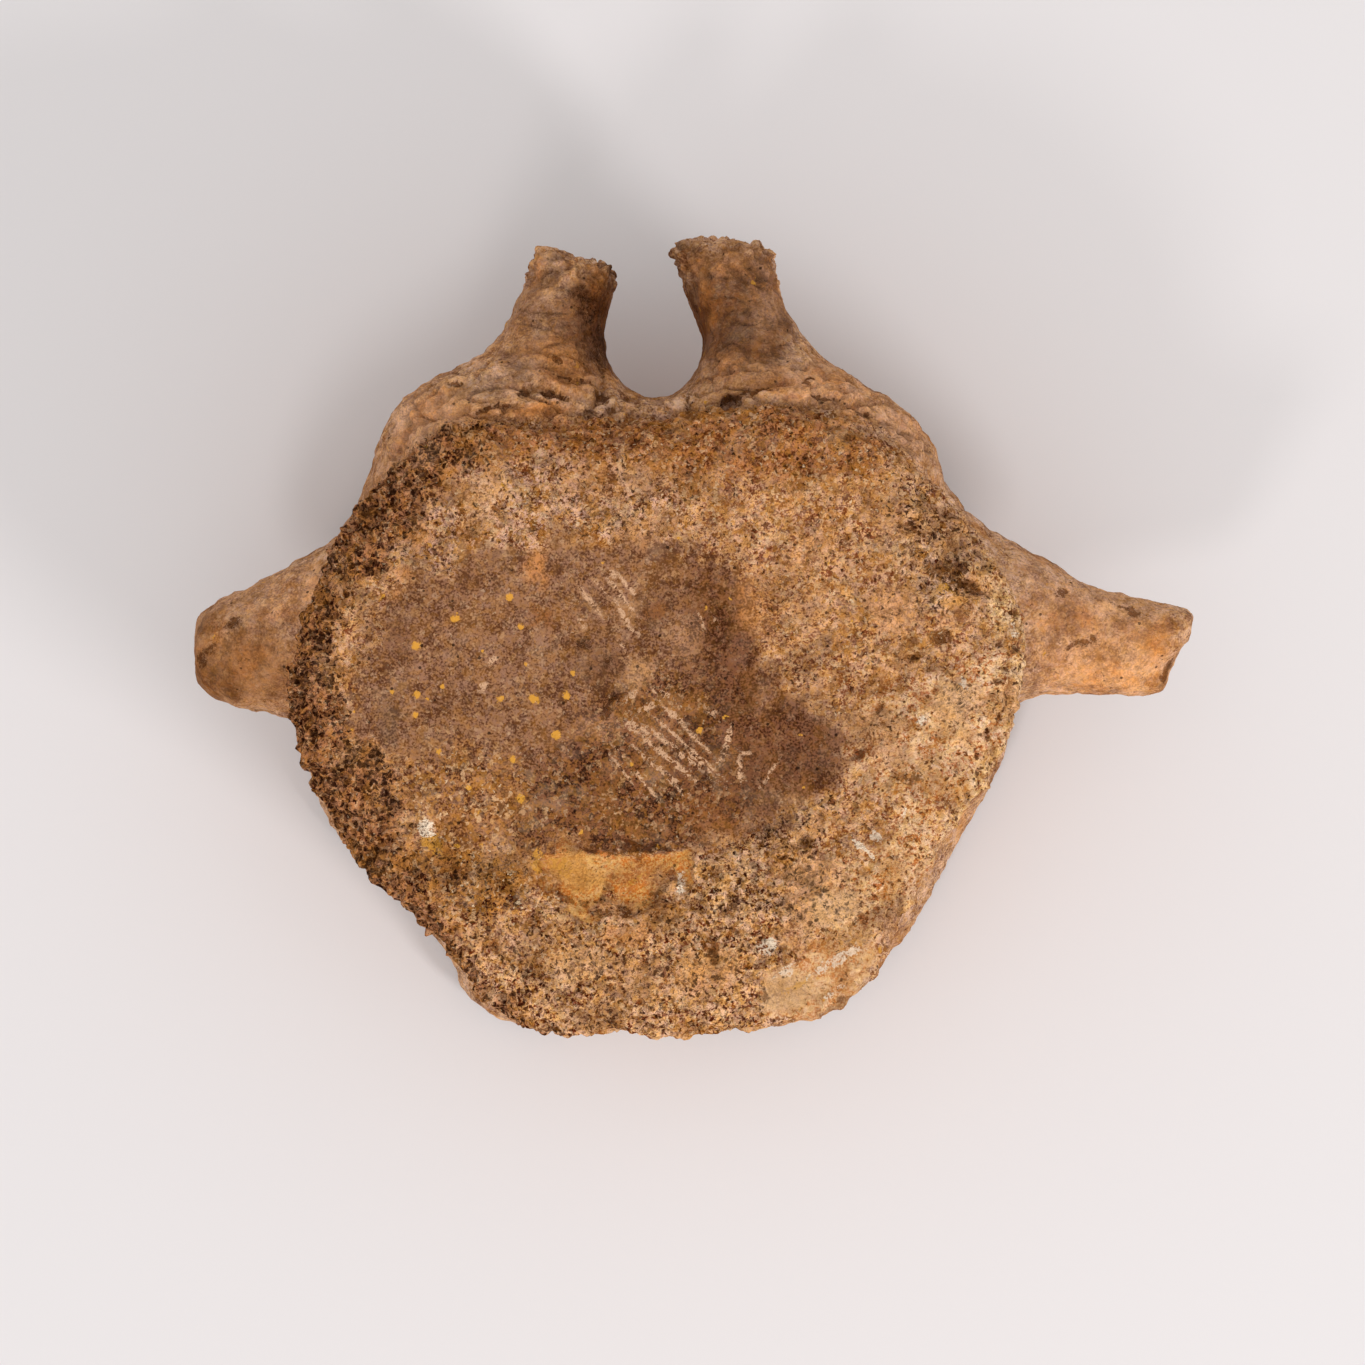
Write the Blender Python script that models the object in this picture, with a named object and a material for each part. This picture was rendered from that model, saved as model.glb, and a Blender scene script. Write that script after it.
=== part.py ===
# Fossil vertebra from a dinosaur's tail, one natural piece of stone.
# It lies on its far joint face. +Z runs along the centrum up to the near joint face, +Y points
# to the neural arch, of which the two broken pedicles are left, and +X to the longer process.
# Until the last step, X and Y are measured from the middle of the centrum.

import math

import bmesh
import bpy
from mathutils import Vector, noise

# Driving sizes, in millimetres
LENGTH = 46.0
WAIST = (0.10, 2.2)             # how far the walls draw in, of their radius, and how sharply
NEAR_DISH = (2.3, 0.30, 0.86)   # depth of the hollow, where it starts to rise, where it ends
FAR_DISH = (3.2, 0.25, 0.88)    # the same on the far joint face
NEAR_ROUND = 3.6                # height of the worn, rounded edge of the near face
FAR_ROUND = 2.4                 # the same on the far face
ROUND_START = 0.88              # where the rounding starts, of the radius
WORN_FLAT = 0.7                 # worn off the high spots of the far rim, where the piece rests
RIM_GROWTH = 0.50               # makes up for what the softening takes off the rims
FOSSIL_BROWN = (0.328, 0.160, 0.073, 1.0)

# How finely the shapes are made
SIDES = 144                     # points round the centrum
FACE_STEPS = (0.05, 0.2, 0.35, 0.5, 0.62, 0.72, 0.8, 0.86, 0.91, 0.95, 0.98)
WALL_STEPS = 24
PART_SIDES = 48                 # points round a pedicle or a process
SQUARENESS = 2.7                # of a pedicle's or process's section; 2 is an ellipse
BREAK_CELLS = 24
VOXEL = 0.8
SOFTENING = 14                  # rounds of smoothing where the pieces meet
TRIANGLES = 9200

MM = 0.001
TURN = 2 * math.pi

# Rim of each joint face, points chosen by hand where the edge turns
NEAR_RIM = [
    (-20.7, 29.4), (-26.7, 24.7), (-31.2, 19.7), (-35.0, 12.6), (-36.9, 3.5), (-35.5, -4.0),
    (-32.4, -10.3), (-29.0, -15.3), (-23.7, -20.3), (-19.9, -23.8), (-17.5, -27.2),
    (-12.7, -30.6), (-4.0, -31.4), (9.3, -30.7), (15.8, -29.9), (21.8, -25.3), (24.8, -18.8),
    (29.5, -10.3), (34.6, -2.8), (36.9, 4.5), (36.6, 11.5), (32.8, 17.2), (27.8, 23.2),
    (23.8, 27.9), (18.0, 30.7), (8.0, 31.2), (0.0, 30.0), (-10.0, 29.7),
]
FAR_RIM = [
    (-26.5, 30.5), (-31.0, 24.5), (-34.8, 17.5), (-37.6, 8.0), (-38.2, -1.0), (-36.0, -9.5),
    (-31.0, -17.0), (-25.0, -23.5), (-21.6, -28.0), (-19.2, -31.0), (-14.5, -33.2),
    (-5.0, -32.2), (8.0, -32.4), (17.0, -31.6), (22.5, -28.0), (26.6, -23.4), (29.4, -18.6),
    (32.3, -12.9), (35.4, -8.0), (38.2, -1.0), (38.8, 7.0), (37.0, 15.5), (33.5, 22.0),
    (29.5, 27.5), (25.0, 31.0), (12.0, 32.0), (-2.0, 31.5), (-16.0, 32.0),
]

# Each pedicle from its foot up: height Y, outer X, inner X, lowest Z, highest Z
LEFT_PEDICLE = [
    (16.0, -31.0, -4.0, 5.0, 40.0), (20.0, -32.2, -3.0, 4.0, 41.0), (24.0, -30.7, 0.0, 3.2, 42.0),
    (28.0, -29.0, 2.0, 3.2, 43.5), (31.7, -27.6, 2.0, 4.5, 43.2), (33.5, -26.1, -2.4, 6.0, 42.0),
    (35.5, -22.8, -4.6, 8.0, 40.0), (37.6, -17.9, -5.6, 10.0, 38.0), (39.6, -16.4, -6.0, 11.0, 36.5),
    (41.7, -15.3, -5.8, 12.0, 35.6), (43.8, -14.6, -5.1, 12.5, 35.0), (45.8, -13.9, -4.2, 13.0, 34.6),
    (52.0, -12.9, -3.2, 13.5, 34.0),
]
RIGHT_PEDICLE = [
    (16.0, 31.0, 3.0, 5.0, 40.0), (20.0, 31.0, 2.5, 4.0, 41.0), (24.0, 30.1, 0.0, 3.2, 42.0),
    (27.5, 29.3, -3.0, 3.2, 43.5), (31.6, 26.2, -3.0, 4.5, 43.2), (33.5, 23.3, 1.5, 6.0, 42.0),
    (35.5, 18.9, 3.6, 8.0, 40.0), (37.6, 16.0, 4.6, 10.0, 38.0), (39.6, 14.7, 4.8, 11.0, 36.5),
    (41.7, 13.4, 4.0, 12.0, 35.6), (43.8, 12.9, 3.3, 12.5, 35.0), (45.8, 12.8, 2.5, 13.0, 34.6),
    (48.0, 12.4, 1.3, 13.2, 34.3), (54.0, 12.2, 1.1, 13.5, 34.0),
]

# Each process from the wall outwards: X, lowest Y, highest Y, lowest Z, highest Z
LEFT_PROCESS = [
    (-24.0, -6.0, 24.0, 8.0, 39.0), (-30.0, -3.0, 21.5, 9.5, 38.0), (-33.2, -1.2, 19.6, 11.0, 37.0),
    (-35.8, 0.4, 17.5, 12.5, 36.0), (-39.5, 1.0, 15.3, 14.0, 35.0), (-43.6, 1.1, 13.4, 15.0, 34.0),
    (-46.6, 1.8, 12.0, 16.0, 33.0), (-48.2, 3.4, 10.4, 17.5, 31.5),
]
RIGHT_PROCESS = [
    (25.0, -6.0, 24.0, 8.0, 39.0), (31.0, -2.5, 22.4, 9.5, 38.0), (34.9, 0.8, 19.3, 11.0, 37.0),
    (39.2, 2.3, 17.0, 12.5, 36.0), (42.8, 2.7, 15.0, 13.5, 35.0), (47.8, 2.7, 12.8, 14.5, 34.0),
    (52.0, 2.7, 12.1, 15.0, 33.5), (58.0, 2.6, 11.3, 15.5, 33.0),
]

# Broken ends: middle of the break, the way it faces, its two half sizes, the height of its teeth
BREAKS = {
    "left_outer_horn": ((-13.6, 49.1, 23.5), (-0.05, 1.0, 0.12), (4.2, 16.0), 1.0),
    "left_inner_horn": ((-4.8, 47.5, 23.5), (0.02, 1.0, 0.10), (4.8, 16.0), 0.9),
    "right_top": ((6.6, 49.9, 23.5), (0.02, 1.0, 0.10), (9.0, 16.0), 0.9),
    "right_tip": ((53.8, 6.6, 23.5), (1.0, -0.48, 0.10), (12.0, 16.0), 0.8),
}
BREAK_DEPTH = 20.0

# Uneven surface: height of the noise, how quickly it changes along a millimetre, its start
SWELL = (0.75, 0.07, Vector((4.0, 1.0, 7.0)))
KNOBS = (0.40, 0.19, Vector((0.0, 0.0, 0.0)))
GRIT = (0.30, 0.45, Vector((0.0, 0.0, 0.0)))
NEAR_FACE_KNOBS = (0.35, 0.21, Vector((0.0, 0.0, 9.0)))
PLATEAU_EDGE = (0.22, 0.16, Vector((0.0, 0.0, 3.0)))

# Hollows of the relief: middle, reach, depth
HOLLOWS = {
    "break_notch": ((-8.2, 47.2, 30.0), 2.6, 1.0),
    "arch_foot_crack": ((7.4, 32.3, 42.5), 2.2, 1.5),
    "left_wall_foramen": ((-33.0, -8.0, 20.0), 2.6, 1.2),
    "right_wall_foramen": ((33.0, -8.0, 26.0), 2.6, 1.2),
    "right_tip_chip": ((52.4, 4.4, 33.0), 4.0, 1.6),
    "far_rim_chip": ((-34.5, 12.0, 1.0), 5.0, 1.5),
    "lower_right_chip": ((15.5, -27.0, 46.5), 5.0, 1.3),
    "left_rim_wear": ((-28.5, -9.5, 46.5), 6.0, 0.8),
    "upper_left_wear": ((-26.0, 20.0, 46.5), 6.0, 0.9),
}

# Middle and half size on the near face, height: the pit with the yellow floor, the unworn middle
YELLOW_PIT = ((-4.3, -15.4), (8.6, 3.6), -0.7)
PLATEAU = ((-9.0, 4.6), (20.0, 15.5), 0.5)
NEAR_FACE_BAND = (7.0, 4.0)                     # depth below the face where its relief starts, is full
VENTRAL_RIDGES = (8.5, 3.2, 1.1)                # distance from the middle, half width, height

# Three high spots of the far rim, on which the piece rests: middle and reach
REST_SPOTS = [((-29.0, 15.0), 13.0), ((28.0, 17.0), 13.0), ((-1.0, -27.0), 13.0)]
REST_RISE = 0.9                                 # how far they stand out
REST_BAND = (3.0, 12.0)                         # height up to which they do so in full, at all


def clear_scene():
    for item in list(bpy.data.objects):
        bpy.data.objects.remove(item, do_unlink=True)


def smooth_step(low, high, value):
    t = min(max((value - low) / (high - low), 0.0), 1.0)
    return t * t * (3 - 2 * t)


# Radius of a rim at each of the equal angles, on a smooth closed curve through its points
def rim_radii(rim, count):
    polar = sorted((math.atan2(y, x), math.hypot(x, y)) for x, y in rim)
    before = [(angle - TURN, radius) for angle, radius in polar[-2:]]
    after = [(angle + TURN, radius) for angle, radius in polar[:2]]
    knots = before + polar + after
    radii = []
    for step in range(count):
        angle = -math.pi + TURN * step / count
        here = next(i for i in range(1, len(knots) - 2) if knots[i][0] <= angle < knots[i + 1][0])
        radii.append(hermite(knots[here - 1:here + 3], angle))
    return radii


def hermite(knots, angle):
    (a0, r0), (a1, r1), (a2, r2), (a3, r3) = knots
    span = a2 - a1
    t = (angle - a1) / span
    slope1 = (r2 - r0) / (a2 - a0) * span
    slope2 = (r3 - r1) / (a3 - a1) * span
    start = r1 * (2 * t ** 3 - 3 * t ** 2 + 1) + slope1 * (t ** 3 - 2 * t ** 2 + t)
    return start + r2 * (3 * t ** 2 - 2 * t ** 3) + slope2 * (t ** 3 - t ** 2)


# Closed skin over a row of rings, with a fan over each end
def loft(bm, rings):
    rows = [[bm.verts.new(point) for point in ring] for ring in rings]
    for row, following in zip(rows, rows[1:]):
        for i, vert in enumerate(row):
            j = (i + 1) % len(row)
            bm.faces.new((vert, row[j], following[j], following[i]))
    for row in (rows[0], rows[-1]):
        middle = bm.verts.new(sum((vert.co for vert in row), Vector()) / len(row))
        for i, vert in enumerate(row):
            bm.faces.new((vert, row[(i + 1) % len(row)], middle))


# Rings of the centrum, from the middle of the far face out, up the wall and in over the near face
def centrum_rings():
    near = [radius + RIM_GROWTH for radius in rim_radii(NEAR_RIM, SIDES)]
    far = [radius + RIM_GROWTH for radius in rim_radii(FAR_RIM, SIDES)]
    angles = [-math.pi + TURN * step / SIDES for step in range(SIDES)]
    rings = []

    def add_ring(radii, height):
        points = zip(angles, radii)
        rings.append([Vector((r * math.cos(a), r * math.sin(a), height)) for a, r in points])

    for share in FACE_STEPS:
        height = dish(FAR_DISH, share) + FAR_ROUND * edge_drop(share)
        add_ring([share * r for r in far], height)
    waist, sharpness = WAIST
    for step in range(WALL_STEPS + 1):
        t = step / WALL_STEPS
        height = FAR_ROUND + (LENGTH - FAR_ROUND - NEAR_ROUND) * t
        draw_in = 1 - waist * (1 - abs(2 * t - 1) ** sharpness)
        add_ring([(f + (n - f) * t) * draw_in for f, n in zip(far, near)], height)
    for share in reversed(FACE_STEPS):
        height = LENGTH - dish(NEAR_DISH, share) - NEAR_ROUND * edge_drop(share)
        add_ring([share * r for r in near], height)
    return rings


# Depth of a joint face's hollow at a share of its radius
def dish(sizes, share):
    depth, rise_start, rise_end = sizes
    return depth * (1 - smooth_step(rise_start, rise_end, share))


# Part of the rounding's height that is lost towards the rim, on a quarter circle
def edge_drop(share):
    run = max(share - ROUND_START, 0.0) / (1 - ROUND_START)
    return 1 - math.sqrt(1 - run * run)


# Rounded four-sided ring: a circle drawn out towards its corners
def rounded_ring(half_a, half_b):
    power = 2 / SQUARENESS
    ring = []
    for step in range(PART_SIDES):
        angle = TURN * step / PART_SIDES
        c, s = math.cos(angle), math.sin(angle)
        a = math.copysign(abs(c) ** power, c) * half_a
        b = math.copysign(abs(s) ** power, s) * half_b
        ring.append((a, b))
    return ring


def pedicle_rings(stations):
    rings = []
    for y, outer, inner, z_low, z_high in stations:
        x_mid, z_mid = (outer + inner) / 2, (z_low + z_high) / 2
        ring = rounded_ring(abs(outer - inner) / 2, (z_high - z_low) / 2)
        rings.append([Vector((x_mid + a, y, z_mid - b)) for a, b in ring])
    return rings


def process_rings(stations):
    rings = []
    for x, y_low, y_high, z_low, z_high in stations:
        y_mid, z_mid = (y_low + y_high) / 2, (z_low + z_high) / 2
        ring = rounded_ring((y_high - y_low) / 2, (z_high - z_low) / 2)
        rings.append([Vector((x, y_mid + a, z_mid + b)) for a, b in ring])
    return rings


def mesh_object(name, bm):
    bmesh.ops.recalc_face_normals(bm, faces=bm.faces)
    mesh = bpy.data.meshes.new(name)
    bm.to_mesh(mesh)
    bm.free()
    item = bpy.data.objects.new(name, mesh)
    bpy.context.scene.collection.objects.link(item)
    return item


def add_part(name, rings):
    bm = bmesh.new()
    loft(bm, rings)
    return mesh_object(name, bm)


# Block with a toothed underside that takes the end off a pedicle or a process
def break_block(name, middle, facing, half_sizes, teeth):
    turn = Vector(facing).normalized().to_track_quat("Z", "Y").to_matrix()
    bm = bmesh.new()
    bmesh.ops.create_grid(bm, x_segments=BREAK_CELLS, y_segments=BREAK_CELLS, size=1.0)
    bmesh.ops.scale(bm, vec=(*half_sizes, 1.0), verts=bm.verts)
    seed = Vector(middle)
    for vert in bm.verts:
        coarse = noise.noise(vert.co * 0.55 + seed)
        fine = noise.noise(vert.co * 1.3 + seed)
        vert.co.z = teeth * (coarse + fine / 2)
    top = bmesh.ops.extrude_face_region(bm, geom=list(bm.faces))
    for item in top["geom"]:
        if isinstance(item, bmesh.types.BMVert):
            item.co.z += BREAK_DEPTH
    bmesh.ops.transform(bm, matrix=turn.to_4x4(), verts=bm.verts)
    bmesh.ops.translate(bm, vec=seed, verts=bm.verts)
    block = mesh_object(name, bm)
    block.hide_render = True
    block.display_type = "WIRE"
    return block


def cut(item, cutter):
    tool = item.modifiers.new(cutter.name, "BOOLEAN")
    tool.operation = "DIFFERENCE"
    tool.solver = "EXACT"
    tool.object = cutter


# Takes the shape that the modifiers give as the object's own mesh
def settle(item):
    shaped = item.evaluated_get(bpy.context.evaluated_depsgraph_get())
    item.data = bpy.data.meshes.new_from_object(shaped)
    item.modifiers.clear()


def join(items, name):
    bm = bmesh.new()
    for item in items:
        bm.from_mesh(item.data)
        bpy.data.objects.remove(item, do_unlink=True)
    return mesh_object(name, bm)


# The rough shape: centrum, pedicles and processes in one skin
def rough_vertebra():
    left_pedicle = add_part("left_pedicle", pedicle_rings(LEFT_PEDICLE))
    right_pedicle = add_part("right_pedicle", pedicle_rings(RIGHT_PEDICLE))
    left_process = add_part("left_process", process_rings(LEFT_PROCESS))
    right_process = add_part("right_process", process_rings(RIGHT_PROCESS))
    blocks = {name: break_block(name, *sizes) for name, sizes in BREAKS.items()}
    cut(left_pedicle, blocks["left_outer_horn"])
    cut(left_pedicle, blocks["left_inner_horn"])
    cut(right_pedicle, blocks["right_top"])
    cut(right_process, blocks["right_tip"])
    parts = [left_pedicle, right_pedicle, left_process, right_process]
    for part in parts:
        settle(part)
    for block in blocks.values():
        bpy.data.objects.remove(block, do_unlink=True)
    parts.append(add_part("centrum", centrum_rings()))
    whole = join(parts, "vertebra")
    skin = whole.modifiers.new("skin", "REMESH")
    skin.mode = "VOXEL"
    skin.voxel_size = VOXEL
    soften = whole.modifiers.new("soften", "SMOOTH")
    soften.factor = 0.5
    soften.iterations = SOFTENING
    settle(whole)
    return whole


# Height of the noise that a setting gives at a place
def unevenness(setting, place):
    height, pace, start = setting
    return height * noise.noise(place * pace + start)


# Height of the worn near face over its smooth dish
def near_face_relief(place):
    (pit_x, pit_y), (pit_a, pit_b), pit_height = YELLOW_PIT
    pit = math.hypot((place.x - pit_x) / pit_a, (place.y - pit_y) / pit_b)
    (mid_x, mid_y), (half_x, half_y), rise = PLATEAU
    plateau = math.hypot((place.x - mid_x) / half_x, (place.y - mid_y) / half_y)
    plateau += unevenness(PLATEAU_EDGE, place)
    height = rise * (1 - smooth_step(0.92, 1.12, plateau))
    height += pit_height * (1 - smooth_step(0.75, 1.1, pit))
    return height + unevenness(NEAR_FACE_KNOBS, place)


# Two low ridges along the underside of the centrum, with a groove between them
def ventral_relief(place, normal):
    apart, half_width, rise = VENTRAL_RIDGES
    ridge = math.exp(-((abs(place.x) - apart) / half_width) ** 2)
    groove = math.exp(-(place.x / (apart - half_width)) ** 2)
    along = math.sin(math.pi * min(max(place.z / LENGTH, 0.0), 1.0))
    return rise * (ridge - groove) * along * smooth_step(0.4, 0.8, -normal.y)


# Lumps, pits and worn places that are seen from a step away
def add_relief(item):
    mesh = item.data
    normals = [vert.normal.copy() for vert in mesh.vertices]
    for vert, normal in zip(mesh.vertices, normals):
        place = vert.co.copy()
        shift = unevenness(SWELL, place) + unevenness(KNOBS, place) + unevenness(GRIT, place)
        shift += ventral_relief(place, normal)
        for middle, reach, depth in HOLLOWS.values():
            distance = (place - Vector(middle)).length
            shift -= depth * (1 - smooth_step(0.15, 1.0, distance / reach))
        band_start, band_full = NEAR_FACE_BAND
        near_top = smooth_step(LENGTH - band_start, LENGTH - band_full, place.z)
        vert.co = place + normal * shift
        vert.co.z += near_top * smooth_step(0.5, 0.9, normal.z) * near_face_relief(place)
    mesh.update()


def raise_rest_spots(item):
    for vert in item.data.vertices:
        near_bottom = 1 - smooth_step(*REST_BAND, vert.co.z)
        for (x, y), reach in REST_SPOTS:
            distance = math.hypot(vert.co.x - x, vert.co.y - y) / reach
            vert.co.z -= REST_RISE * near_bottom * (1 - smooth_step(0.2, 1.0, distance))
    item.data.update()


def reduce_triangles(item):
    item.data.calc_loop_triangles()
    fewer = item.modifiers.new("fewer", "DECIMATE")
    fewer.ratio = TRIANGLES / len(item.data.loop_triangles)
    settle(item)


# The high spots of the far rim are worn flat where the piece rests
def wear_flat(item):
    lowest = min(vert.co.z for vert in item.data.vertices)
    bm = bmesh.new()
    block = bmesh.ops.create_cube(bm, size=4 * LENGTH)
    bmesh.ops.translate(bm, vec=(0, 0, lowest + WORN_FLAT - 2 * LENGTH), verts=block["verts"])
    ground = mesh_object("ground", bm)
    ground.hide_render = True
    ground.display_type = "WIRE"
    cut(item, ground)
    settle(item)
    bpy.data.objects.remove(ground, do_unlink=True)


# Puts the origin at the bottom middle of the outer box and turns millimetres into metres
def place_at_origin(item):
    mesh = item.data
    low = Vector([min(vert.co[axis] for vert in mesh.vertices) for axis in range(3)])
    high = Vector([max(vert.co[axis] for vert in mesh.vertices) for axis in range(3)])
    middle = Vector(((low.x + high.x) / 2, (low.y + high.y) / 2, low.z))
    for vert in mesh.vertices:
        vert.co = (vert.co - middle) * MM
    mesh.update()
    print("size in mm", [round(value, 2) for value in high - low])
    print("middle of the centrum in mm", [round(-value, 2) for value in middle])


def fossil_bone():
    material = bpy.data.materials.new("fossil_bone")
    material.use_nodes = True
    shader = material.node_tree.nodes["Principled BSDF"]
    shader.inputs["Base Color"].default_value = FOSSIL_BROWN
    shader.inputs["Roughness"].default_value = 0.85
    shader.inputs["Metallic"].default_value = 0.0
    return material


def finish(item):
    item.data.materials.clear()
    item.data.materials.append(fossil_bone())
    for face in item.data.polygons:
        face.use_smooth = True


clear_scene()
vertebra = rough_vertebra()
add_relief(vertebra)
raise_rest_spots(vertebra)
reduce_triangles(vertebra)
wear_flat(vertebra)
place_at_origin(vertebra)
finish(vertebra)
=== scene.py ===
import math

import bpy
import numpy as np
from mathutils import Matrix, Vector, noise


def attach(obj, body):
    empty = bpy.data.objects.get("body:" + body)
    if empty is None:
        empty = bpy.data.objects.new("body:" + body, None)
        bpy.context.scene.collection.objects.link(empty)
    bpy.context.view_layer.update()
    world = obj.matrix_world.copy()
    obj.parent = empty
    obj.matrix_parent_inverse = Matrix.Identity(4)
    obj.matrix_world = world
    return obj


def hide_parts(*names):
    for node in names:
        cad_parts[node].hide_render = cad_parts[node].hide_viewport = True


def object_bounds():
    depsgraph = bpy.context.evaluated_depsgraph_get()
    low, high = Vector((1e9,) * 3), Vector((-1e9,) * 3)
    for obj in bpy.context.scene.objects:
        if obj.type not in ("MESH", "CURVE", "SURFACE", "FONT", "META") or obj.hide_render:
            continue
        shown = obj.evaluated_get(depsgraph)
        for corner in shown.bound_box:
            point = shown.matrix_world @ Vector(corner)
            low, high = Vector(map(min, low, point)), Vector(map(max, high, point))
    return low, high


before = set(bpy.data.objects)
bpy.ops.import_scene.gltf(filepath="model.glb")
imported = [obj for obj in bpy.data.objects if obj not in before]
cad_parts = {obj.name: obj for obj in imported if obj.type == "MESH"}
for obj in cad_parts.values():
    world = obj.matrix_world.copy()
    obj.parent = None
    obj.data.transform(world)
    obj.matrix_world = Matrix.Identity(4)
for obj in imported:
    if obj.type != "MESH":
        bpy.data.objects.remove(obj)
cadLow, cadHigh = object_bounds()
print("frame loaded, box", [round(v * 1000, 1) for v in cadLow], [round(v * 1000, 1) for v in cadHigh])

# Middle of the centrum in the frame, in mm; every outline below counts from it, on the near face
centrumMiddle = (-3.73, -8.88)
topHeight = (cadHigh.z - cadLow.z) * 1000

# The skin of the bone, in mm
bone = {
    "voxel": 0.52,
    "soften": 8,
    # made finer: faces above this height and up to so far past the rim, the arch and its ends
    "fineFace": (39.0, 1.2),
    "fineArch": {"past": 27, "above": 8, "facing": 0.12},
    "fineEnds": 43,
    "triangles": 198000,
    "roughRim": 0.38,
    "spongePit": 0.46,
    "hummock": 0.42,
    "fibre": 0.22,
    "patinaStep": 0.22,
    "yellowStep": 0.55,
    "archLedge": 0.9,
    "brokenEnd": 0.9,
    "crease": 0.75,
    "groove": 0.75,
    "chipStep": 0.3,
    "archLump": 0.5,
    "raggedEnd": 0.7,
    "hiddenRim": 1.0,
    # where these begin and are whole: heights of the two joint faces, distances up to the arch
    "nearFace": (37.5, 40.0),
    "farFace": (5.5, 3.0),
    "arch": (26, 29),
    "ledges": (39, 33),
    "ends": (43.5, 46.0),
    # the far rim that the near one hides: turns and heights in which it is drawn in
    "hiddenFrom": (203, 209),
    "hiddenTo": (234, 229),
    "hiddenBelow": (38, 28),
}

# Edge of the near joint face
nearRim = [
    (-20.7, 29.4), (-26.7, 24.7), (-31.2, 19.7), (-35, 12.6), (-36.9, 3.5), (-35.5, -4), (-32.4, -10.3),
    (-29, -15.3), (-23.7, -20.3), (-19.9, -23.8), (-17.5, -27.2), (-12.7, -30.6), (-4, -31.4), (9.3, -30.7),
    (15.8, -29.9), (21.8, -25.3), (24.8, -18.8), (29.5, -10.3), (34.6, -2.8), (36.9, 4.5), (36.6, 11.5),
    (32.8, 17.2), (27.8, 23.2), (23.8, 27.9), (18, 30.7), (8, 31.2), (0, 30), (-10, 29.7),
]

# Zones of the near joint face, painted in this order: width of the soft edge, darkest and lightest tint
# as screen colours, how porous, how smooth, how much the grains differ in colour
zoneKeys = ("edge", "dark", "light", "pores", "smooth", "flecks")
zoneLooks = {
    "spongyTan": (0.5, (137, 75, 41), (239, 184, 134), 0.45, 0.0, 0.9),
    "topBand": (1.3, (109, 56, 22), (196, 131, 82), 0.5, 0.1, 0.8),
    "tanBand": (1.4, (120, 63, 27), (236, 186, 147), 0.5, 0.0, 1.0),
    "bottomTan": (1.2, (124, 50, 14), (253, 200, 148), 0.76, 0.0, 1.0),
    "darkBand": (1.3, (81, 27, 3), (191, 129, 84), 1.15, 0.0, 0.6),
    "upperRightDark": (1.6, (90, 29, 4), (253, 204, 160), 0.8, 0.0, 1.0),
    "rightCream": (1.8, (200, 116, 60), (253, 212, 166), 0.6, 0.0, 0.5),
    "rightRim": (0.9, (158, 92, 52), (253, 212, 158), 0.7, 0.0, 0.7),
    "lowerCream": (1.5, (202, 116, 56), (253, 210, 158), 0.7, 0.0, 0.5),
    "orangeMottle": (1.5, (69, 17, 3), (199, 137, 75), 0.7, 0.0, 1.0),
    "brownMottle": (1.5, (106, 44, 14), (253, 201, 152), 0.8, 0.0, 1.0),
    "patina": (0.7, (91, 53, 30), (154, 111, 83), 0.08, 1.0, 0.3),
    "patinaGrainy": (2.4, (88, 46, 19), (175, 123, 80), 0.15, 0.75, 0.9),
    "patinaSpeckled": (2.4, (51, 23, 8), (132, 84, 54), 0.16, 0.75, 0.5),
    "patinaDark": (2.2, (64, 31, 11), (124, 79, 54), 0.08, 1.0, 0.14),
    "yellowFloor": (0.35, (224, 130, 52), (255, 206, 130), 0.2, 0.3, 0.4),
    "creamChip": (0.5, (216, 140, 82), (255, 212, 160), 0.3, 0.2, 0.25),
}
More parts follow.
